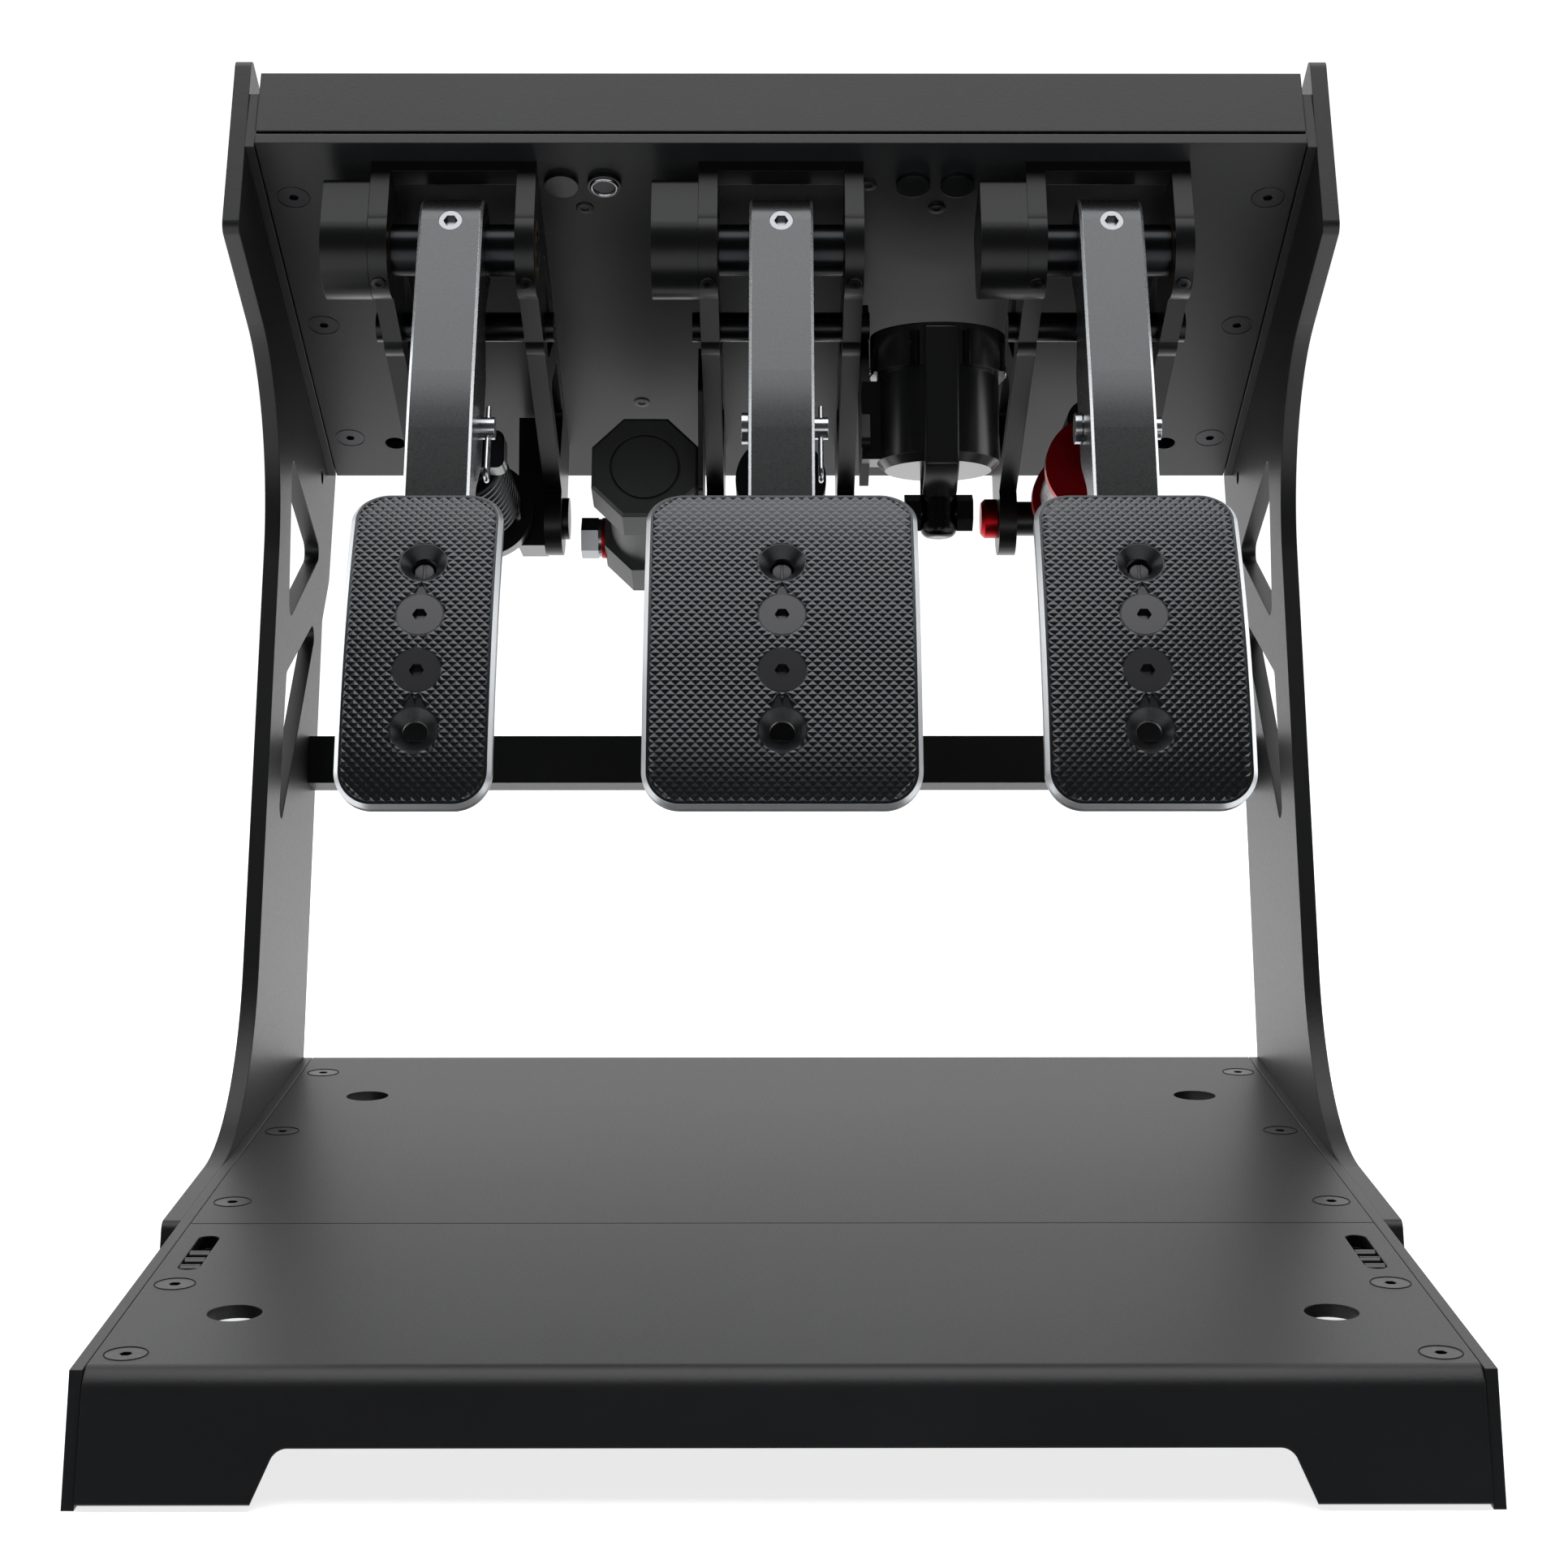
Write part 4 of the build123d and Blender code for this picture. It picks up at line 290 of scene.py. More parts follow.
def machined(name, dark, light, roughness, metallic, chamfer_way=None, chamfer_where=None):
    """Anodised metal with an even, finely blasted surface and, if asked for, bare chamfers."""
    material, shader = new_material(name, {"Metallic": metallic, "Roughness": roughness})
    spot = add_node(material, "ShaderNodeTexCoord").outputs["Object"]
    blast = add_node(
        material, "ShaderNodeTexNoise", {"Scale": BLAST_SCALE, "Detail": 2.0}, {"Vector": spot}
    )
    tint = add_node(
        material,
        "ShaderNodeValToRGB",
        {"stops": ((0.3, dark), (0.7, light))},
        {"Fac": blast.outputs["Fac"]},
    )
    rough = add_node(
        material,
        "ShaderNodeMapRange",
        {"To Min": roughness - GLOSS_BELOW, "To Max": roughness + GLOSS_ABOVE},
        {"Value": blast.outputs["Fac"]},
    )
    edge = add_node(
        material, "ShaderNodeBevel", {"samples": EDGE_SAMPLES, "Radius": EDGE_SOFTNESS / 2}
    )
    bump = add_node(
        material,
        "ShaderNodeBump",
        {"Strength": 0.06, "Distance": BLAST_DEPTH},
        {"Height": blast.outputs["Fac"], "Normal": edge.outputs["Normal"]},
    )
    colour = tint.outputs["Color"]
    if chamfer_way is not None:
        colour = bare_chamfers(material, colour, chamfer_way, chamfer_where)
    feed_shader(
        material,
        shader,
        {"Base Color": colour, "Roughness": rough.outputs["Result"], "Normal": bump.outputs["Normal"]},
    )
    return material


# Most of them: a deep black with a dull, slightly metallic sheen.
anodised = machined(
    "black_anodised_aluminium", ANODISED_BLACK, ANODISED_LIGHT, roughness=0.3, metallic=0.5
)
# Pressure chamber: blasted with coarser beads, so it looks grey and matt beside the rest.
blasted = machined("bead_blasted_anodised", "#363738", "#3d3e3f", roughness=0.5, metallic=0.0)
# Canister and its strap: honed smooth before the bath, so they mirror the room's dark and lights.
honed = machined("honed_black_anodised", "#1c1d1e", "#212223", roughness=0.22, metallic=0.3)
# Arms: a thin bath over bright metal, so they take the overhead light like brushed steel.
# Their chamfers were cut after it and shine as bright lines.
arm_finish = machined(
    "satin_anodised_arm", "#4b4c4d", "#515253", roughness=0.27, metallic=0.9, chamfer_way=(1, 0, 0)
)
for name in (
    "module_webs",
    "chamber_bracket",
    "canister_bracket",
    "sensor_housings",
    "clutch_side_plates",
    "brake_side_plates",
    "throttle_side_plates",
    "throttle_reservoir",
    "clutch_strut",
    "brake_strut",
):
    dress(name, anodised)
dress("pressure_chamber", blasted)
for pedal in PEDALS:
    dress(pedal + "_arm", arm_finish)
    dress(pedal + "_pad_bracket", anodised)


# Turned metal: shafts, rods, pins, screws and fittings are ground, plated, blackened or anodised.
# Grinding leaves rings too fine to see, so each finish only varies in gloss, over about 2.4 mm.
GLOSS_SCALE = 420.0


def bright_metal(name, colour, roughness, speckle):
    """Metal of one colour whose gloss varies a little from spot to spot."""
    material, shader = new_material(
        name, {"Base Color": srgb(colour), "Metallic": 1.0, "Roughness": roughness}
    )
    spot = add_node(material, "ShaderNodeTexCoord").outputs["Object"]
    noise = add_node(
        material, "ShaderNodeTexNoise", {"Scale": GLOSS_SCALE, "Detail": 4.0}, {"Vector": spot}
    )
    edge = add_node(
        material, "ShaderNodeBevel", {"samples": EDGE_SAMPLES, "Radius": EDGE_SOFTNESS / 2}
    )
    rough = add_node(
        material,
        "ShaderNodeMapRange",
        {"To Min": roughness - speckle, "To Max": roughness + speckle},
        {"Value": noise.outputs["Fac"]},
    )
    feed_shader(
        material, shader, {"Roughness": rough.outputs["Result"], "Normal": edge.outputs["Normal"]}
    )
    return material


# Ground steel gives crisp grey reflections, and zinc plate paler, sharper ones.
ground_steel = bright_metal("ground_steel", "#8f9194", roughness=0.22, speckle=0.06)
zinc = bright_metal("bright_zinc_plate", "#c4c7cb", roughness=0.2, speckle=0.05)
# Turned aluminium is the palest, with a soft sheen.
turned_aluminium = bright_metal("turned_aluminium", "#c9cacc", roughness=0.3, speckle=0.08)
# Black oxide keeps the screws' metallic glint but takes most of their light.
oxide = bright_metal("black_oxide_steel", "#38383a", roughness=0.34, speckle=0.06)
# Sintered bronze is porous, so the bushes look brown and dull.
bronze = bright_metal("sintered_bronze", "#8c6a3c", roughness=0.5, speckle=0.1)
# Dyed anodising leaves the rings and the knob a clear metallic red.
red_anodised = bright_metal("red_anodised_aluminium", "#a8151c", roughness=0.36, speckle=0.05)
# Polished before the bath: bars and shafts carry long sharp reflections on black.
dark_gloss = bright_metal("glossy_black_anodised", "#2b2c2e", roughness=0.26, speckle=0.04)
FINISHES = {
    "frame_screws": oxide,
    "bracket_screws": oxide,
    "anchor_pins": oxide,
    "spacer_bars": dark_gloss,
    "pivot_bearings": bronze,
    "canister_stem": dark_gloss,
    "canister_fasteners": dark_gloss,
    "canister_body": honed,
    "canister_cap": honed,
    "banjo_fitting": ground_steel,
    "clutch_rod": dark_gloss,
    "brake_rod": ground_steel,
    "throttle_rod": ground_steel,
    "throttle_strut": turned_aluminium,
    "throttle_rings": red_anodised,
    "throttle_knob": red_anodised,
}
for name, material in FINISHES.items():
    dress(name, material)
for pedal in PEDALS:
    dress(pedal + "_pivot_shaft", dark_gloss)
    dress(pedal + "_clevis_pin", zinc)


# Plastics and laminate: the heel latches and the tray's round plugs are moulded, and the control
# board inside the cover is a green coated laminate. Their moulds leave a faint grain of 1 mm or so.
MOULD_DEPTH = 0.1 * MM


def moulded(name, colour, roughness, scale):
    """Plastic with the faint grain of its mould."""
    material, shader = new_material(name, {"Base Color": srgb(colour), "Roughness": roughness})
    spot = add_node(material, "ShaderNodeTexCoord").outputs["Object"]
    noise = add_node(material, "ShaderNodeTexNoise", {"Scale": scale, "Detail": 3.0}, {"Vector": spot})
    edge = add_node(
        material, "ShaderNodeBevel", {"samples": EDGE_SAMPLES, "Radius": EDGE_SOFTNESS / 2}
    )
    bump = add_node(
        material,
        "ShaderNodeBump",
        {"Strength": 0.1, "Distance": MOULD_DEPTH},
        {"Height": noise.outputs["Fac"], "Normal": edge.outputs["Normal"]},
    )
    feed_shader(material, shader, {"Normal": bump.outputs["Normal"]})
    return material


# The latches come from a polished mould and glint on each ridge; the plugs are a little duller.
latch_plastic = moulded("glossy_moulded_nylon", "#0e0f10", roughness=0.18, scale=900.0)
jack_plastic = moulded("black_moulded_plastic", "#0f1011", roughness=0.25, scale=1200.0)
# The board's lacquer lies over woven glass, which shows as a soft unevenness in its gloss.
laminate = moulded("green_circuit_laminate", "#1c4a2b", roughness=0.3, scale=700.0)
dress("left_heel_latch", latch_plastic)
dress("right_heel_latch", latch_plastic)
dress("circuit_board", laminate)
dress("tray_jacks", jack_plastic)


# Pads: curved aluminium plates, anodised dark, whose rims are bare metal chamfered after the bath.
# Their fronts are knurled: rows of small pyramids, cut crosswise, leave a plain rim and plain holes.
# The pyramids are raised from a grid that stands on its corner and are bent onto the pad's curve.
TRAY_ORIGIN = Vector((0, 50.0, 390.65)) * MM
TRAY_ANGLE = radians(33.0)
ALONG = Vector((0, cos(TRAY_ANGLE), -sin(TRAY_ANGLE)))
DOWN = Vector((0, -sin(TRAY_ANGLE), -cos(TRAY_ANGLE)))
MODULE_PITCH = 119.0 * MM
MODULE_X = {"clutch": -MODULE_PITCH, "brake": 0.0, "throttle": MODULE_PITCH}
PAD_WIDTH = {"clutch": 51.0 * MM, "brake": 91.0 * MM, "throttle": 68.5 * MM}
PAD_CURVE = 240.0 * MM
PAD_LENGTH = 120.0 * MM
PAD_FRONT = -9.0 * MM
PAD_MIDDLE = 208.0 * MM
PAD_CORNER = 12.5 * MM
PAD_HOLE_STEPS = (-1.5, -0.5, 0.5, 1.5)
PAD_HOLE_PITCH = 20.7 * MM
PAD_HOLE_DROP = 2.4 * MM
PAD_HOLE_RADIUS = 8.0 * MM
PAD_HOLE_BAND = 50.0 * MM
KNURL_PITCH = 3.3 * MM
KNURL_HEIGHT = 0.36 * MM
KNURL_RIM = 2.3 * MM
KNURL_SKIRT = 0.4 * MM
KNURL_LIFT = 0.05 * MM
GRID_SHARE = 1.6
KEPT_SHARE = 0.3


def tray_place(x, s, n):
    """A point across, along and below the tray, in the set's own frame."""
    return TRAY_ORIGIN + Vector((x, 0, 0)) + ALONG * s + DOWN * n


def pad_place(x, arc, height):
    """A point on the pad: arc runs down its face and height stands out of it."""
    angle = arc / PAD_CURVE
    s = PAD_FRONT + PAD_CURVE - (PAD_CURVE + height) * cos(angle)
    n = PAD_MIDDLE + (PAD_CURVE + height) * sin(angle)
    return tray_place(x, s, n)


def hole_arcs():
    """Where the pad's four holes lie along its face."""
    return [step * PAD_HOLE_PITCH + PAD_HOLE_DROP for step in PAD_HOLE_STEPS]


def round_middle(x, arc, half_width):
    """The point of the pad's core that the round of its rim turns about, beside a point."""
    core_x = half_width - PAD_CORNER
    core_arc = PAD_LENGTH / 2 - PAD_CORNER
    return max(-core_x, min(core_x, x)), max(-core_arc, min(core_arc, arc))


def moved_to(distance, x, arc, centre_x, centre_arc):
    """A point moved straight towards or away from a centre until it is at a distance from it."""
    away = hypot(x - centre_x, arc - centre_arc)
    return (
        centre_x + (x - centre_x) * distance / away,
        centre_arc + (arc - centre_arc) * distance / away,
    )


def held_on_pad(x, arc, half_width):
    """The nearest point that lies within the rim and clear of the holes."""
    near_x, near_arc = round_middle(x, arc, half_width)
    if hypot(x - near_x, arc - near_arc) > PAD_CORNER - KNURL_RIM:
        x, arc = moved_to(PAD_CORNER - KNURL_RIM, x, arc, near_x, near_arc)
    for centre in hole_arcs():
        if hypot(x, arc - centre) < PAD_HOLE_RADIUS:
            x, arc = moved_to(PAD_HOLE_RADIUS, x, arc, 0, centre)
    return x, arc


def on_outline(x, arc, half_width, near):
    """The knurl's outline beside a point: a hole's circle if one is near, or else the rim."""
    for centre in hole_arcs():
        if hypot(x, arc - centre) < PAD_HOLE_RADIUS + near * 2:
            return moved_to(PAD_HOLE_RADIUS, x, arc, 0, centre)
    near_x, near_arc = round_middle(x, arc, half_width)
    return moved_to(PAD_CORNER - KNURL_RIM, x, arc, near_x, near_arc)


def away_from_holes(material):
    """One on the pad's rim, nought near the middle line that carries its holes."""
    spot = add_node(material, "ShaderNodeTexCoord").outputs["Object"]
    drop = add_node(
        material, "ShaderNodeVectorMath", {"operation": "DOT_PRODUCT", 1: DOWN}, {0: spot}
    )
    middle = TRAY_ORIGIN.dot(DOWN) + PAD_MIDDLE
    reach = add_node(
        material, "ShaderNodeMath", {"operation": "SUBTRACT", 1: middle}, {0: drop.outputs["Value"]}
    )
    far = add_node(
        material, "ShaderNodeMath", {"operation": "ABSOLUTE"}, {0: reach.outputs["Value"]}
    )
    ends = add_node(
        material,
        "ShaderNodeMath",
        {"operation": "GREATER_THAN", 1: PAD_HOLE_BAND},
        {0: far.outputs["Value"]},
    )
    across = add_node(material, "ShaderNodeSeparateXYZ", {}, {"Vector": spot})
    wrapped = add_node(
        material,
        "ShaderNodeMath",
        {"operation": "WRAP", 1: MODULE_PITCH / 2, 2: -MODULE_PITCH / 2},
        {0: across.outputs["X"]},
    )
    aside = add_node(
        material, "ShaderNodeMath", {"operation": "ABSOLUTE"}, {0: wrapped.outputs["Value"]}
    )
    sides = add_node(
        material,
        "ShaderNodeMath",
        {"operation": "GREATER_THAN", 1: PAD_HOLE_RADIUS * 2},
        {0: aside.outputs["Value"]},
    )
    either = add_node(
        material,
        "ShaderNodeMath",
        {"operation": "MAXIMUM"},
        {0: ends.outputs["Value"], 1: sides.outputs["Value"]},
    )
    return either.outputs["Value"]


# The plate: dark grey metal whose rim catches the side lights as one bright line.
pad_finish = machined(
    "black_anodised_pad",
    "#333436",
    "#3a3b3d",
    roughness=0.34,
    metallic=0.85,
    chamfer_way=-ALONG,
    chamfer_where=away_from_holes,
)
# The knurl's cut flanks are smoother, so each pyramid mirrors the overhead light above and the
# dark room below.
knurl_finish = machined("knurled_pad_face", "#3e3f41", "#454648", roughness=0.2, metallic=0.93)


def select_only(piece):
    """Select one piece and make it the active one."""
    deselect_all()
    bpy.context.view_layer.objects.active = piece
    piece.select_set(True)


def turn_outwards(piece):
    """Point every face of a closed piece outwards."""
    select_only(piece)
    bpy.ops.object.mode_set(mode="EDIT")
    bpy.ops.mesh.select_all(action="SELECT")
    bpy.ops.mesh.normals_make_consistent(inside=False)
    bpy.ops.object.mode_set(mode="OBJECT")


def knurl(pedal):
    """The pyramids of one pad."""
    half_width = PAD_WIDTH[pedal] / 2
    side = KNURL_PITCH / 2**0.5
    cells = int(PAD_LENGTH * GRID_SHARE / side)
    deselect_all()
    bpy.ops.mesh.primitive_grid_add(x_subdivisions=cells, y_subdivisions=cells, size=cells * side)
    piece = bpy.context.object
    piece.name = pedal + "_pad_knurl"
    piece.data.transform(Matrix.Rotation(pi / 4, 4, "Z"))
    bpy.ops.object.mode_set(mode="EDIT")
    bpy.ops.mesh.select_all(action="DESELECT")
    mesh = bmesh.from_edit_mesh(piece.data)
    for face in mesh.faces:
        middle = face.calc_center_median()
        x, arc = held_on_pad(middle.x, middle.y, half_width)
        face.select = hypot(middle.x - x, middle.y - arc) > side * KEPT_SHARE
    bmesh.update_edit_mesh(piece.data)
    bpy.ops.mesh.delete(type="FACE")
    mesh = bmesh.from_edit_mesh(piece.data)
    for vertex in mesh.verts:
        if vertex.is_boundary:
            vertex.co.x, vertex.co.y = on_outline(vertex.co.x, vertex.co.y, half_width, side)
        else:
            vertex.co.x, vertex.co.y = held_on_pad(vertex.co.x, vertex.co.y, half_width)
    bmesh.update_edit_mesh(piece.data)
    bpy.ops.mesh.select_all(action="SELECT")
    bpy.ops.mesh.poke(offset=KNURL_HEIGHT)
    bpy.ops.object.mode_set(mode="OBJECT")
    skirt = piece.modifiers.new("skirt", "SOLIDIFY")
    skirt.thickness = KNURL_SKIRT
    skirt.offset = -1
    bpy.ops.object.modifier_apply(modifier="skirt")
    for vertex in piece.data.vertices:
        x, arc, height = vertex.co
        vertex.co = pad_place(MODULE_X[pedal] + x, arc, height + KNURL_LIFT)
    piece.data.update()
    turn_outwards(piece)
    piece.data.materials.append(knurl_finish)
    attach(piece, pedal + "_lever")


for pedal in PEDALS:
    dress(pedal + "_pad", pad_finish)
    knurl(pedal)


# Springs: the clutch's coil and the throttle's return spring are wound from round steel wire.
# Each rides with its strut's body.
WELD_GAP = 0.01 * MM
WIRE_SMOOTH_ANGLE = radians(50)
SPRINGS = (
    ("clutch", "clutch_spring", "clutch_coil_spring", 45.0 * MM, 138.0 * MM),
    ("throttle", "throttle_spring", "throttle_return_spring", 76.3 * MM, 127.0 * MM),
)

# Oiled spring steel is dark, and its film of oil draws thin bright lines along each coil.
spring_steel = bright_metal("oiled_spring_steel", "#3a3b3d", roughness=0.3, speckle=0.08)


for pedal, node_name, piece_name, low, high in SPRINGS:
    spring = bpy.data.objects.new(piece_name, nodes[node_name].data.copy())
    bpy.context.scene.collection.objects.link(spring)
    select_only(spring)
    bpy.ops.object.mode_set(mode="EDIT")
    bpy.ops.mesh.select_all(action="SELECT")
    bpy.ops.mesh.remove_doubles(threshold=WELD_GAP)
    bpy.ops.object.mode_set(mode="OBJECT")
    bpy.ops.object.shade_smooth_by_angle(angle=WIRE_SMOOTH_ANGLE)
    spring.data.materials.clear()
    spring.data.materials.append(spring_steel)
    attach(spring, pedal + "_strut_body")
    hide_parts(node_name)
    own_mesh(spring)


# Socket screws: small blackened screws close the pivot lugs and hold parts up below the tray.
# Each is a turned head with a soft edge and a six-sided socket, and a foot that sits in its part.
SIDES = ((-1, "left"), (1, "right"))
SOCKET_SIDES = 6
HEAD_SIDES = 40
ROUNDING_STEPS = 3
HEAD_SMOOTH_ANGLE = radians(35)
LUG_PLACE = (28.0 * MM, 27.0 * MM)
LUG_RADIUS = 17.4 * MM
LUG_SCREW_ANGLE = radians(45.0)
LUG_SCREW_WAY = Vector((0, -cos(LUG_SCREW_ANGLE), -sin(LUG_SCREW_ANGLE)))
LUG_SCREW_X = 26.5 * MM
LUG_SCREW = {"radius": 2.7 * MM, "height": 0.5 * MM, "foot": 2.0 * MM, "rounding": 0.3 * MM}
TRAY_SCREW = {"radius": 3.3 * MM, "height": 0.3 * MM, "foot": 1.5 * MM, "rounding": 0.15 * MM}
TRAY_SCREW_PLACES = ((-73.0, 38.0), (-57.0, 168.0), (32.0, 24.0), (58.0, 38.0))


def put(piece, place, outward):
    """Turn a piece drawn on Z to face outward and move its mesh into place."""
    turn = Vector(outward).to_track_quat("Z", "Y").to_matrix().to_4x4()
    piece.data.transform(Matrix.Translation(place) @ turn)


def settle(piece, name, material, body):
    """Name a finished piece, give it its finish and tie it to its body."""
    piece.name = name
    piece.data.materials.clear()
    piece.data.materials.append(material)
    select_only(piece)
    bpy.ops.object.shade_smooth_by_angle(angle=HEAD_SMOOTH_ANGLE)
    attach(piece, body)


def round_head(radius, height, foot, rounding):
    """A round head that stands on z = 0 with a short foot below."""
    deselect_all()
    bpy.ops.mesh.primitive_cylinder_add(
        vertices=HEAD_SIDES, radius=radius, depth=height + foot, location=(0, 0, (height - foot) / 2)
    )
    head = bpy.context.object
    bpy.ops.object.transform_apply(location=True, rotation=False, scale=False)
    soft = head.modifiers.new("rounding", "BEVEL")
    soft.width = rounding
    soft.segments = ROUNDING_STEPS
    bpy.ops.object.modifier_apply(modifier="rounding")
    return head


def cut_out(piece, cutter):
    """Take a cutter's shape out of a piece."""
    cut = piece.modifiers.new("cut", "BOOLEAN")
    cut.object = cutter
    cut.operation = "DIFFERENCE"
    select_only(piece)
    bpy.ops.object.modifier_apply(modifier="cut")
    bpy.data.objects.remove(cutter, do_unlink=True)


def socket_head(radius, height, foot, rounding):
    """A round head with a six-sided socket, half as wide as the head."""
    head = round_head(radius, height, foot, rounding)
    deselect_all()
    bpy.ops.mesh.primitive_cylinder_add(
        vertices=SOCKET_SIDES, radius=radius / 2, depth=height + foot, location=(0, 0, height)
    )
    cut_out(head, bpy.context.object)
    return head


for pedal in PEDALS:
    for side, side_name in SIDES:
        screw = socket_head(**LUG_SCREW)
        lug = tray_place(MODULE_X[pedal] + side * LUG_SCREW_X, *LUG_PLACE)
        put(screw, lug + LUG_SCREW_WAY * LUG_RADIUS, LUG_SCREW_WAY)
        settle(screw, f"{pedal}_{side_name}_lug_screw", oxide, "frame")

for number, (x, s) in enumerate(TRAY_SCREW_PLACES):
    screw = socket_head(**TRAY_SCREW)
    put(screw, tray_place(x * MM, s * MM, 0), DOWN)
    settle(screw, f"tray_screw_{number}", oxide, "frame")


# Pad studs: a slotted steel stud stands in the topmost hole of each pad, well below its face.
# It is turned and blackened like the screws, and its slot was cut with one straight pass.
STUD = {"radius": 3.2 * MM, "height": 0.6 * MM, "foot": 0.8 * MM, "rounding": 0.2 * MM}
STUD_DEPTH = 4.9 * MM
STUD_DROP = 0.7 * MM
SLOT_MIDDLE = 0.6 * MM
SLOT_SIZE = (0.9 * MM, 9.6 * MM, 1.0 * MM)

for pedal in PEDALS:
    stud = round_head(**STUD)
    deselect_all()
    bpy.ops.mesh.primitive_cube_add(size=1, location=(0, 0, SLOT_MIDDLE))
    slot_cutter = bpy.context.object
    slot_cutter.dimensions = SLOT_SIZE
    bpy.ops.object.transform_apply(location=True, rotation=False, scale=True)
    cut_out(stud, slot_cutter)
    arc = hole_arcs()[0] + STUD_DROP
    outward = pad_place(0, arc, 1.0) - pad_place(0, arc, 0)
    put(stud, pad_place(MODULE_X[pedal], arc, -STUD_DEPTH), outward)
    settle(stud, f"{pedal}_pad_stud", oxide, pedal + "_lever")


# Countersinks: flat screws hold the floor plates and the tray to their rails. Each head lies flush
# in its countersink. The gap round it is a thin ring: painted shadow on the floor, oxide steel on the
# tray.
FLOOR_TOP = 34.5 * MM
FLOOR_SCREW_X = 181.7 * MM
FLOOR_SCREW_YS = (-244.8, -177.4, -82.5, 16.9, 115.8)
TRAY_RIM_X = 180.5 * MM
TRAY_RIM_SHARES = (0.1425, 0.5055, 0.8685)
TRAY_LENGTH = 224.5 * MM
SCREW_HEAD_RADIUS = 6.05 * MM
GAP_RADIUS = 0.2 * MM
RING_STEPS = 64
RING_SIDES = 6

# The floor's gaps lie in the overhead light; their rings are near-black painted shadow for the shade
# down in each gap.
shadow = new_material("painted_countersink_shadow", {"Base Color": srgb("#060606"), "Roughness": 0.9})[0]


def countersink(name, place, outward, material):
    """The thin gap round one flat screw's head."""
    deselect_all()
    bpy.ops.mesh.primitive_torus_add(
        major_radius=SCREW_HEAD_RADIUS,
        minor_radius=GAP_RADIUS,
        major_segments=RING_STEPS,
        minor_segments=RING_SIDES,
    )
    gap = bpy.context.object
    put(gap, place, outward)
    settle(gap, name, material, "frame")


# The floor's rings carry the painted shadow of their countersink gaps.
for side, side_name in SIDES:
    for number, y in enumerate(FLOOR_SCREW_YS):
        place = (side * FLOOR_SCREW_X, y * MM, FLOOR_TOP)
        countersink(f"floor_{side_name}_countersink_{number}", place, (0, 0, 1), shadow)

for side, side_name in SIDES:
    for number, share in enumerate(TRAY_RIM_SHARES):
        place = tray_place(side * TRAY_RIM_X, share * TRAY_LENGTH, 0)
        countersink(f"tray_{side_name}_countersink_{number}", place, DOWN, oxide)


# Pedal screws: each arm is clamped on its shaft by a plated screw, and each pad is held by two
# blackened ones. The clamp screws stand far above the pads, so the finish changes by height: the
# plated heads show as bright rings and the pads' screws stay as dull as their plate.
CLAMP_SCREW_HEIGHT = 0.27
SCREW_BLACK = "#48484a"
SCREW_BRIGHT = "#8d8f92"

screw_finish, screw_shader = new_material("oxide_and_plated_screws", {"Metallic": 1.0, "Roughness": 0.3})
spot = add_node(screw_finish, "ShaderNodeTexCoord").outputs["Object"]
axes = add_node(screw_finish, "ShaderNodeSeparateXYZ", {}, {"Vector": spot})
above = add_node(
    screw_finish,
    "ShaderNodeMath",
    {"operation": "GREATER_THAN", 1: CLAMP_SCREW_HEIGHT},
    {0: axes.outputs["Z"]},
)
two_tone = add_node(
    screw_finish,
    "ShaderNodeMix",
    {"data_type": "RGBA", 6: srgb(SCREW_BLACK), 7: srgb(SCREW_BRIGHT)},
    {0: above.outputs["Value"]},
)
feed_shader(screw_finish, screw_shader, {"Base Color": two_tone.outputs[2]})
for pedal in PEDALS:
    dress(pedal + "_pedal_screws", screw_finish)


# Canister strap: a rounded, honed bar runs down the pot's front and bends in below it to the stem.
# Two small plated screws close the cap at its sides. All of it leans with the pot.
CANISTER_PLACE = tray_place(59.2 * MM, 98.06 * MM, 95.92 * MM)
CANISTER_LEAN = radians(12.0)
CANISTER_UP = Vector((0, sin(CANISTER_LEAN), cos(CANISTER_LEAN)))
STRAP_HALF_WIDTH = 6.35 * MM
STRAP_FRONT = -27.6 * MM
STRAP_BACK = -22.6 * MM
STRAP_TOP = 65.5 * MM
STRAP_LOW = 17.0 * MM
STRAP_FOOT_NORMAL = -0.9
STRAP_BEND = (0, 0, -4.0 * MM)
STRAP_TAIL = (0, 18.0 * MM, -8.0 * MM)
STRAP_ROUNDING = 1.6 * MM
STRAP_ROUNDING_STEPS = 4
STRAP_EDGE_ANGLE = radians(40)
CAP_SCREW_RADIUS = 25.2 * MM
CAP_SCREW_HEIGHT = 53.5 * MM
CAP_SCREW = {"radius": 1.9 * MM, "height": 0.7 * MM, "foot": 1.2 * MM, "rounding": 0.3 * MM}

deselect_all()
bpy.ops.mesh.primitive_cube_add(
    size=1, location=(0, (STRAP_FRONT + STRAP_BACK) / 2, (STRAP_TOP + STRAP_LOW) / 2)
)
strap = bpy.context.object
strap.dimensions = (STRAP_HALF_WIDTH * 2, STRAP_BACK - STRAP_FRONT, STRAP_TOP - STRAP_LOW)
bpy.ops.object.transform_apply(location=True, rotation=False, scale=True)
bpy.ops.object.mode_set(mode="EDIT")
bpy.ops.mesh.select_all(action="DESELECT")
strap_mesh = bmesh.from_edit_mesh(strap.data)
for face in strap_mesh.faces:
    face.select = face.normal.z < STRAP_FOOT_NORMAL
bmesh.update_edit_mesh(strap.data)
bpy.ops.mesh.extrude_region_move(TRANSFORM_OT_translate={"value": STRAP_BEND})
bpy.ops.mesh.extrude_region_move(TRANSFORM_OT_translate={"value": STRAP_TAIL})
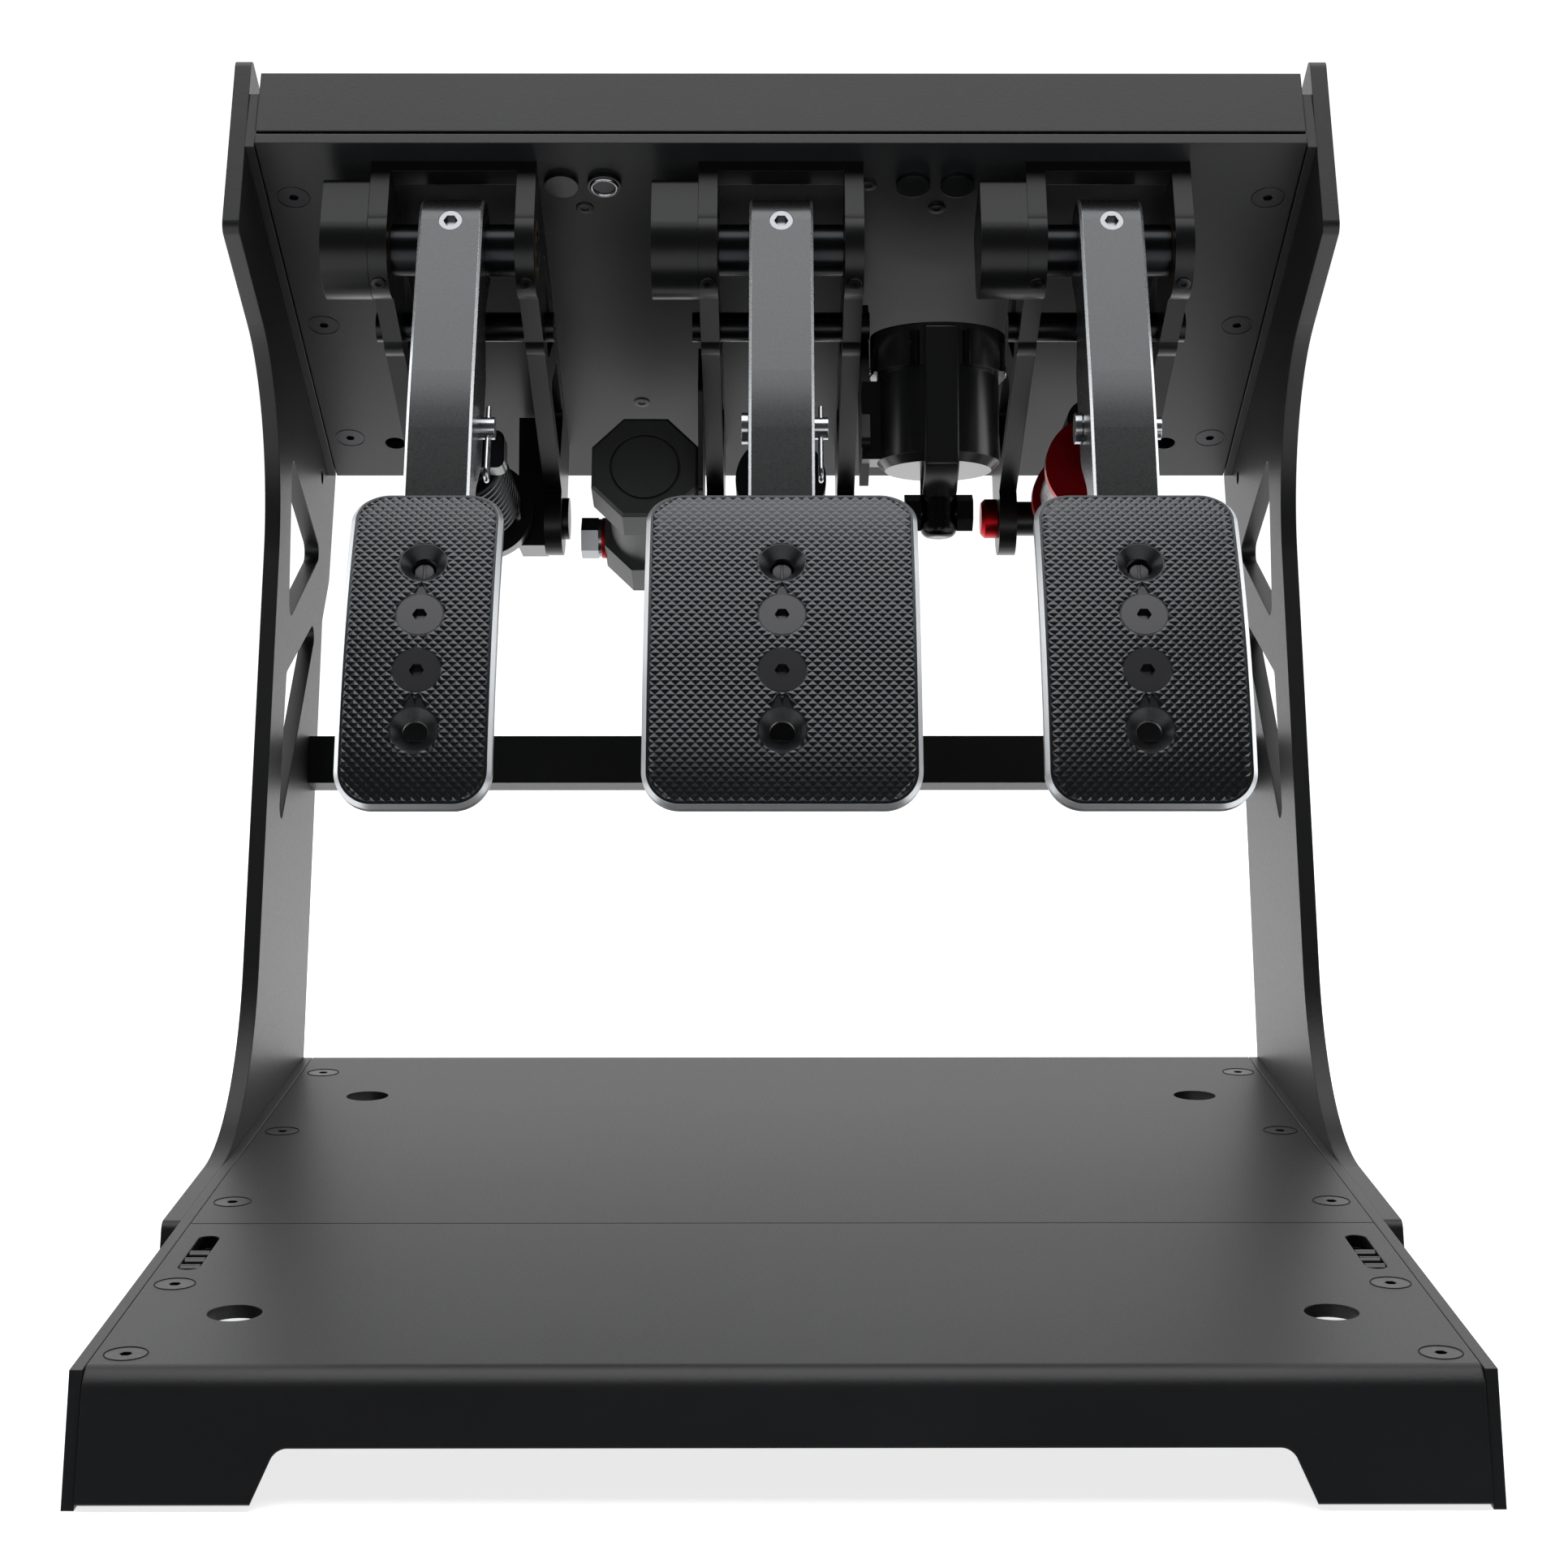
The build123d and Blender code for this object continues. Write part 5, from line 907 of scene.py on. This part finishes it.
bpy.ops.object.mode_set(mode="OBJECT")
soft = strap.modifiers.new("rounding", "BEVEL")
soft.width = STRAP_ROUNDING
soft.segments = STRAP_ROUNDING_STEPS
soft.limit_method = "ANGLE"
soft.angle_limit = STRAP_EDGE_ANGLE
bpy.ops.object.modifier_apply(modifier="rounding")
turn_outwards(strap)
strap.data.transform(Matrix.Translation(CANISTER_PLACE) @ Matrix.Rotation(-CANISTER_LEAN, 4, "X"))
settle(strap, "canister_strap", honed, "frame")

for side, side_name in SIDES:
    screw = socket_head(**CAP_SCREW)
    place = CANISTER_PLACE + Vector((side * CAP_SCREW_RADIUS, 0, 0)) + CANISTER_UP * CAP_SCREW_HEIGHT
    put(screw, place, (side, 0, 0))
    settle(screw, f"canister_{side_name}_cap_screw", zinc, "frame")


# Banjo washer: a red anodised ring lies between the banjo's eye and the chamber's flat, and only
# its rim shows. It is placed along the chamber, which slopes down towards the back.
WASHER_PLACE = (-71.45 * MM, 120.0 * MM, 61.5 * MM)
CHAMBER_SLOPE = radians(25.0)
CHAMBER_WAY = Vector((0, cos(CHAMBER_SLOPE), -sin(CHAMBER_SLOPE)))
WASHER_ALONG = 71.0 * MM
WASHER = {"radius": 8.3 * MM, "height": 1.7 * MM, "foot": 0.0, "rounding": 0.3 * MM}

# Its dye is the rings' red, but its turned rim is duller, so it stays red in the chamber's shade.
washer_red = bright_metal("red_anodised_washer", "#a8151c", roughness=0.42, speckle=0.05)
washer = round_head(**WASHER)
put(washer, tray_place(*WASHER_PLACE) + CHAMBER_WAY * WASHER_ALONG, (-1, 0, 0))
settle(washer, "banjo_washer", washer_red, "frame")


# Jack collar: one of the round plugs below the tray is a socket, whose plated collar is a turned
# ring with a full round section. It shows as a small bright circle in the tray's shade.
JACK_PLACE = (-65.0 * MM, 23.0 * MM, 2.1 * MM)
COLLAR_RADIUS = 4.6 * MM
COLLAR_THICKNESS = 0.7 * MM
COLLAR_STEPS = 48
COLLAR_SIDES = 12

deselect_all()
bpy.ops.mesh.primitive_torus_add(
    major_radius=COLLAR_RADIUS,
    minor_radius=COLLAR_THICKNESS,
    major_segments=COLLAR_STEPS,
    minor_segments=COLLAR_SIDES,
)
collar = bpy.context.object
put(collar, tray_place(*JACK_PLACE), DOWN)
settle(collar, "jack_collar", zinc, "frame")
